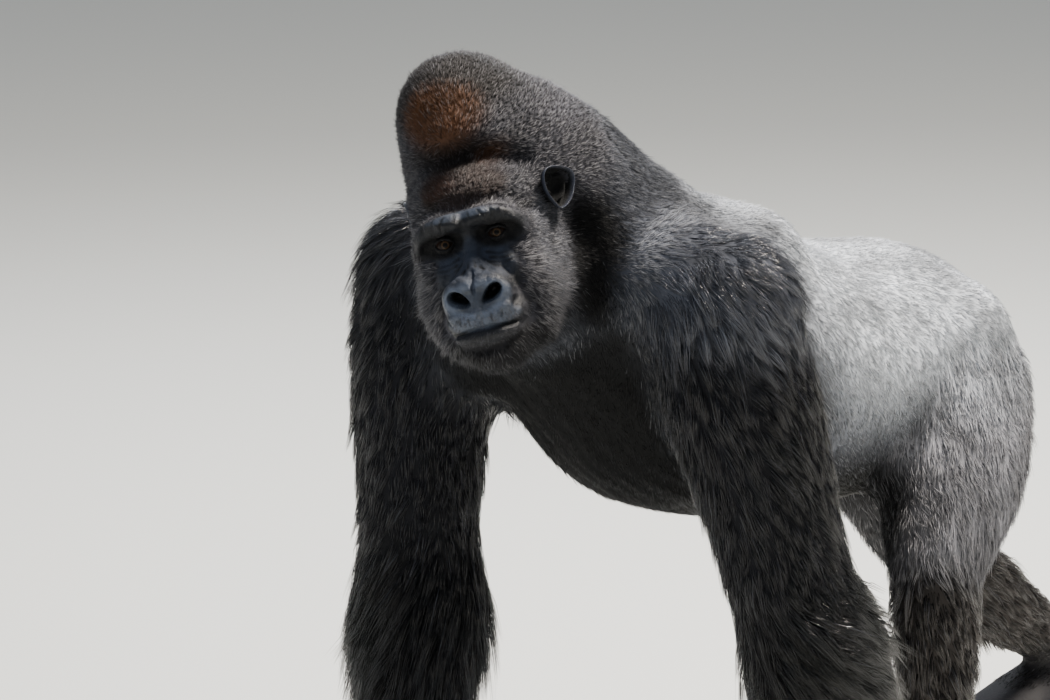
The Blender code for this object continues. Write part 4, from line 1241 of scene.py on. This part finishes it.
def makeEye(side):
    lo, hi = (np.array(v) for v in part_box("eye_" + side))
    radius = (hi[2] - lo[2]) / 2 * 1000
    gaze = unit(headAxes @ eyeSettings["gaze"])
    across = unit(np.cross(headAxes[:, 2], gaze))
    up = np.cross(gaze, across)
    rings, around = eyeSettings["rings"], eyeSettings["around"]
    polar = (np.arange(1, rings) / rings) ** eyeSettings["crowding"] * math.pi
    turn = np.arange(around) / around * 2 * math.pi
    limb = math.asin(eyeSettings["iris"] / radius)
    ballRadius = radius + eyeSettings["bulge"] * smoothStep(limb * eyeSettings["limbEdge"], 0, polar)
    wide, high = ballRadius * np.sin(polar), ballRadius * np.cos(polar)
    ring = [np.outer(wide, np.cos(turn)), np.outer(wide, np.sin(turn)), np.outer(high, np.ones(around))]
    ring = np.stack(ring, axis=-1).reshape(-1, 3)
    whole = np.concatenate([[(0, 0, radius + eyeSettings["bulge"])], ring, [(0, 0, -radius)]])
    places = (lo + hi) / 2 + (whole @ np.stack([across, up, gaze])) / 1000
    last = 1 + (rings - 2) * around
    faces = []
    for k in range(around):
        n = (k + 1) % around
        faces += [(0, 1 + k, 1 + n), (len(whole) - 1, last + n, last + k)]
        for r in range(rings - 2):
            a, b = 1 + r * around + k, 1 + r * around + n
            faces += [(a, a + around, b + around), (a, b + around, b)]
    behind = whole[:, 2] < 0
    flat = np.hypot(whole[:, 0], whole[:, 1]) + eyeSettings["backOfBall"] * behind
    spin = np.arctan2(whole[:, 1], whole[:, 0])
    counts, strength = eyeSettings["rays"]
    rays = sum(math.cos(k) * np.cos(spin * k + k * k) for k in counts) * strength
    tints = np.tile(linear(eyeSettings["colours"]["inner"]), (len(whole), 1))
    for key, (start, end) in eyeSettings["fades"].items():
        size = eyeSettings["pupil" if key == "pupil" else "iris"]
        tints = mixedIn(tints, eyeSettings["colours"][key], smoothStep(size * start, size * end, flat))
        if key == "outer":
            tints = tints * (1 + rays)[:, None]
    mesh = meshFrom("eye_" + side, places, np.array(faces))
    setTints(mesh, tints)
    return mesh


# an eye is a wet ball, IOR 1.376 as the cornea; the film of tears is a thin smooth coat that only catches a
# small spark, and the iris below it stays dull
eyeJelly, tree, surface, place = newMaterial("wet_amber_eye", {
    "Roughness": 0.5, "IOR": 1.376, "Specular IOR Level": 0.05, "Coat Weight": 0.18, "Coat Roughness": 0.03,
})
fibres = addNode(tree, "ShaderNodeTexNoise", {"Scale": perMetre(eyeSettings["fibre"]), "Detail": 3.0}, place)
fibreShade = addNode(tree, "ShaderNodeMapRange", eyeSettings["fibreShade"], {"Value": (fibres, "Fac")})
tintedBy(tree, surface, fibreShade)
for side in sides:
    eye = objectFrom("eyeball_" + side, makeEye(side))
    eye.data.materials.append(eyeJelly)
    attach(eye, "root")
    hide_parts("eye_" + side)
print("eyes: made")


# nails of the toes, in millimetres
nailSettings = {
    "thick": 1.3, "curve": 0.55, "colour": "#2b2725", "rim": "#4a4340", "steps": 8, "rounded": 0.28,
    "bend": 0.92, "arch": 1.1, "edge": 0.8, "size": (1.05, 1.15), "ridge": 1.43, "proud": 0.55,
    "front": 0.9,  # share of the length where it is thinned
    "back": 0.004, "sunk": 0.0006, "above": 0.10,  # metres
}


def nailPoints(centre, forward, up, wide, long):
    # a plate curved across, thickest along the middle and free at its front edge
    across = unit(np.cross(forward, up))
    count = nailSettings["steps"] + 1
    grid = []
    for layer in (1, 0):
        for i in np.linspace(-1, 1, count):
            for j in np.linspace(-1, 1, count):
                x, y = i * wide / 2 * math.sqrt(1 - nailSettings["rounded"] * j ** 4), j * long / 2
                arch = (1 - math.sqrt(1 - (i * nailSettings["bend"]) ** 2)) * nailSettings["arch"]
                rise = (layer - nailSettings["proud"]) * nailSettings["thick"]
                rise -= nailSettings["edge"] * (j > nailSettings["front"])
                rise -= nailSettings["curve"] * wide / 2 * arch
                grid.append(centre + (across * x + forward * y + up * rise) / 1000)
    faces = []
    whole, last = count * count, count - 1
    for i in range(last):
        for j in range(last):
            a = i * count + j
            b = a + whole
            faces += [(a, a + count, a + count + 1), (a, a + count + 1, a + 1)]
            faces += [(b, b + count + 1, b + count), (b, b + 1, b + count + 1)]
    border = [*range(count), *range(last + count, whole, count)]
    border += [*range(whole - 2, count * last - 1, -1), *range(count * last - count, -1, -count)]
    for a, b in zip(border, border[1:]):
        faces += [(a, b, b + whole), (a, b + whole, a + whole)]
    return np.array(grid), np.array(faces)


# a nail is horn, grown in fine ridges and worn smooth, IOR 1.54, which gives it a low, broad shine; the real
# ridges are about 0.3 mm apart, too fine to show
horn, tree, surface, place = newMaterial("ridged_horn_nail", {"Roughness": 0.38, "IOR": 1.54})
ridges = addNode(tree, "ShaderNodeTexNoise", {"Scale": perMetre(nailSettings["ridge"]), "Detail": 3.0}, place)
hornColours = {6: (*linear(nailSettings["colour"]), 1), 7: (*linear(nailSettings["rim"]), 1)}
hornTint = addNode(tree, "ShaderNodeMix", {"data_type": "RGBA", **hornColours}, {0: (ridges, "Fac")})
tree.links.new(hornTint.outputs[2], surface.inputs["Base Color"])

finalTree = BVHTree.FromPolygons([Vector(p) for p in points], triangles.tolist())
for side, sign in sides.items():
    turn = turnedBy(footTurns[side] * sign)
    ankle = skeleton[side]["ankle"]
    plates, faces = [], []
    for across, reach, wide in toes + [greatToe]:
        spot = turn @ np.array((across * sign, nailSettings["back"] - reach, 0)) + (*ankle[:2], 0)
        hit = finalTree.ray_cast(Vector((spot[0], spot[1], nailSettings["above"])), Vector((0, 0, -1)))
        if hit[0] is None:
            continue
        up = unit(np.array(hit[1]))
        forward = turn @ -backwards
        forward = unit(forward - up * (forward @ up))
        centre = np.array(hit[0]) - up * nailSettings["sunk"]
        grid, plate = nailPoints(centre, forward, up, *(wide * size for size in nailSettings["size"]))
        faces.append(plate + sum(len(p) for p in plates))
        plates.append(grid)
    mesh = meshFrom("toenails_" + side, np.concatenate(plates), np.concatenate(faces))
    nails = objectFrom("toenails_" + side, mesh)
    nails.data.materials.append(horn)
    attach(nails, "root")
print("nails: made")


# floor, light and camera; the floor is flat matt paint, pale and without a pattern
stageSettings = {"floor": "#d9dad6", "floorSize": 60, "sky": (0.9, 0.95, 1.0, 1), "world": 0.40}
cameraSettings = {
    "azimuth": 46.1, "elevation": 11.9, "distance": 6.87, "lens": 185.07, "film": 36,
    "aim": (-0.072, 0.163, -0.176),
}
half = stageSettings["floorSize"] / 2
corners = [(-half, -half, 0), (half, -half, 0), (half, half, 0), (-half, half, 0)]
floor = objectFrom("floor", meshFrom("floor", corners, [(0, 1, 2), (0, 2, 3)]))
floorPaint = newMaterial("painted_floor", {"Base Color": (*linear(stageSettings["floor"]), 1)})[0]
floor.data.materials.append(floorPaint)

world = bpy.data.worlds.new("studio")
world.use_nodes = True
world.node_tree.nodes["Background"].inputs["Color"].default_value = stageSettings["sky"]
world.node_tree.nodes["Background"].inputs["Strength"].default_value = stageSettings["world"]
bpy.context.scene.world = world

lights = {
    "key": {"from": (0.75, 1.35, 4.1), "size": 1.1, "power": 700, "colour": "#fff6ea"},
    "fill": {"from": (-0.2, -3.6, 2.6), "size": 2.4, "power": 60, "colour": "#eaf2ff"},
    "rim": {"from": (-2.4, 1.8, 2.6), "size": 2.0, "power": 120, "colour": "#f2f6ff"},
    "glint": {"from": (1.2, -3.0, 2.3), "size": 0.12, "power": 8, "colour": "#ffffff"},  # sparks in the eyes
}
middle = (Vector(cadBox[0]) + Vector(cadBox[1])) / 2
for name, light in lights.items():
    lamp = bpy.data.lights.new(name, "AREA")
    lamp.shape = "DISK"
    lamp.size = light["size"]
    lamp.energy = light["power"]
    lamp.color = linear(light["colour"])
    thing = bpy.data.objects.new(name, lamp)
    bpy.context.scene.collection.objects.link(thing)
    thing.location = middle + Vector(light["from"])
    thing.rotation_mode = "QUATERNION"
    thing.rotation_quaternion = (middle - thing.location).to_track_quat("-Z", "Y")
    thing.visible_glossy = name != "fill"  # the soft fill would veil the eyes

azimuth, elevation = (math.radians(cameraSettings[k]) for k in ("azimuth", "elevation"))
level = math.cos(elevation)
back = Vector((math.sin(azimuth) * level, -math.cos(azimuth) * level, math.sin(elevation)))
lens = bpy.data.cameras.new("camera")
lens.lens = cameraSettings["lens"]
lens.sensor_width = cameraSettings["film"]
camera = bpy.data.objects.new("camera", lens)
bpy.context.scene.collection.objects.link(camera)
camera.location = Vector(headOrigin) + Vector(cameraSettings["aim"]) + back * cameraSettings["distance"]
camera.rotation_mode = "QUATERNION"
camera.rotation_quaternion = back.to_track_quat("Z", "Y")
bpy.context.scene.camera = camera
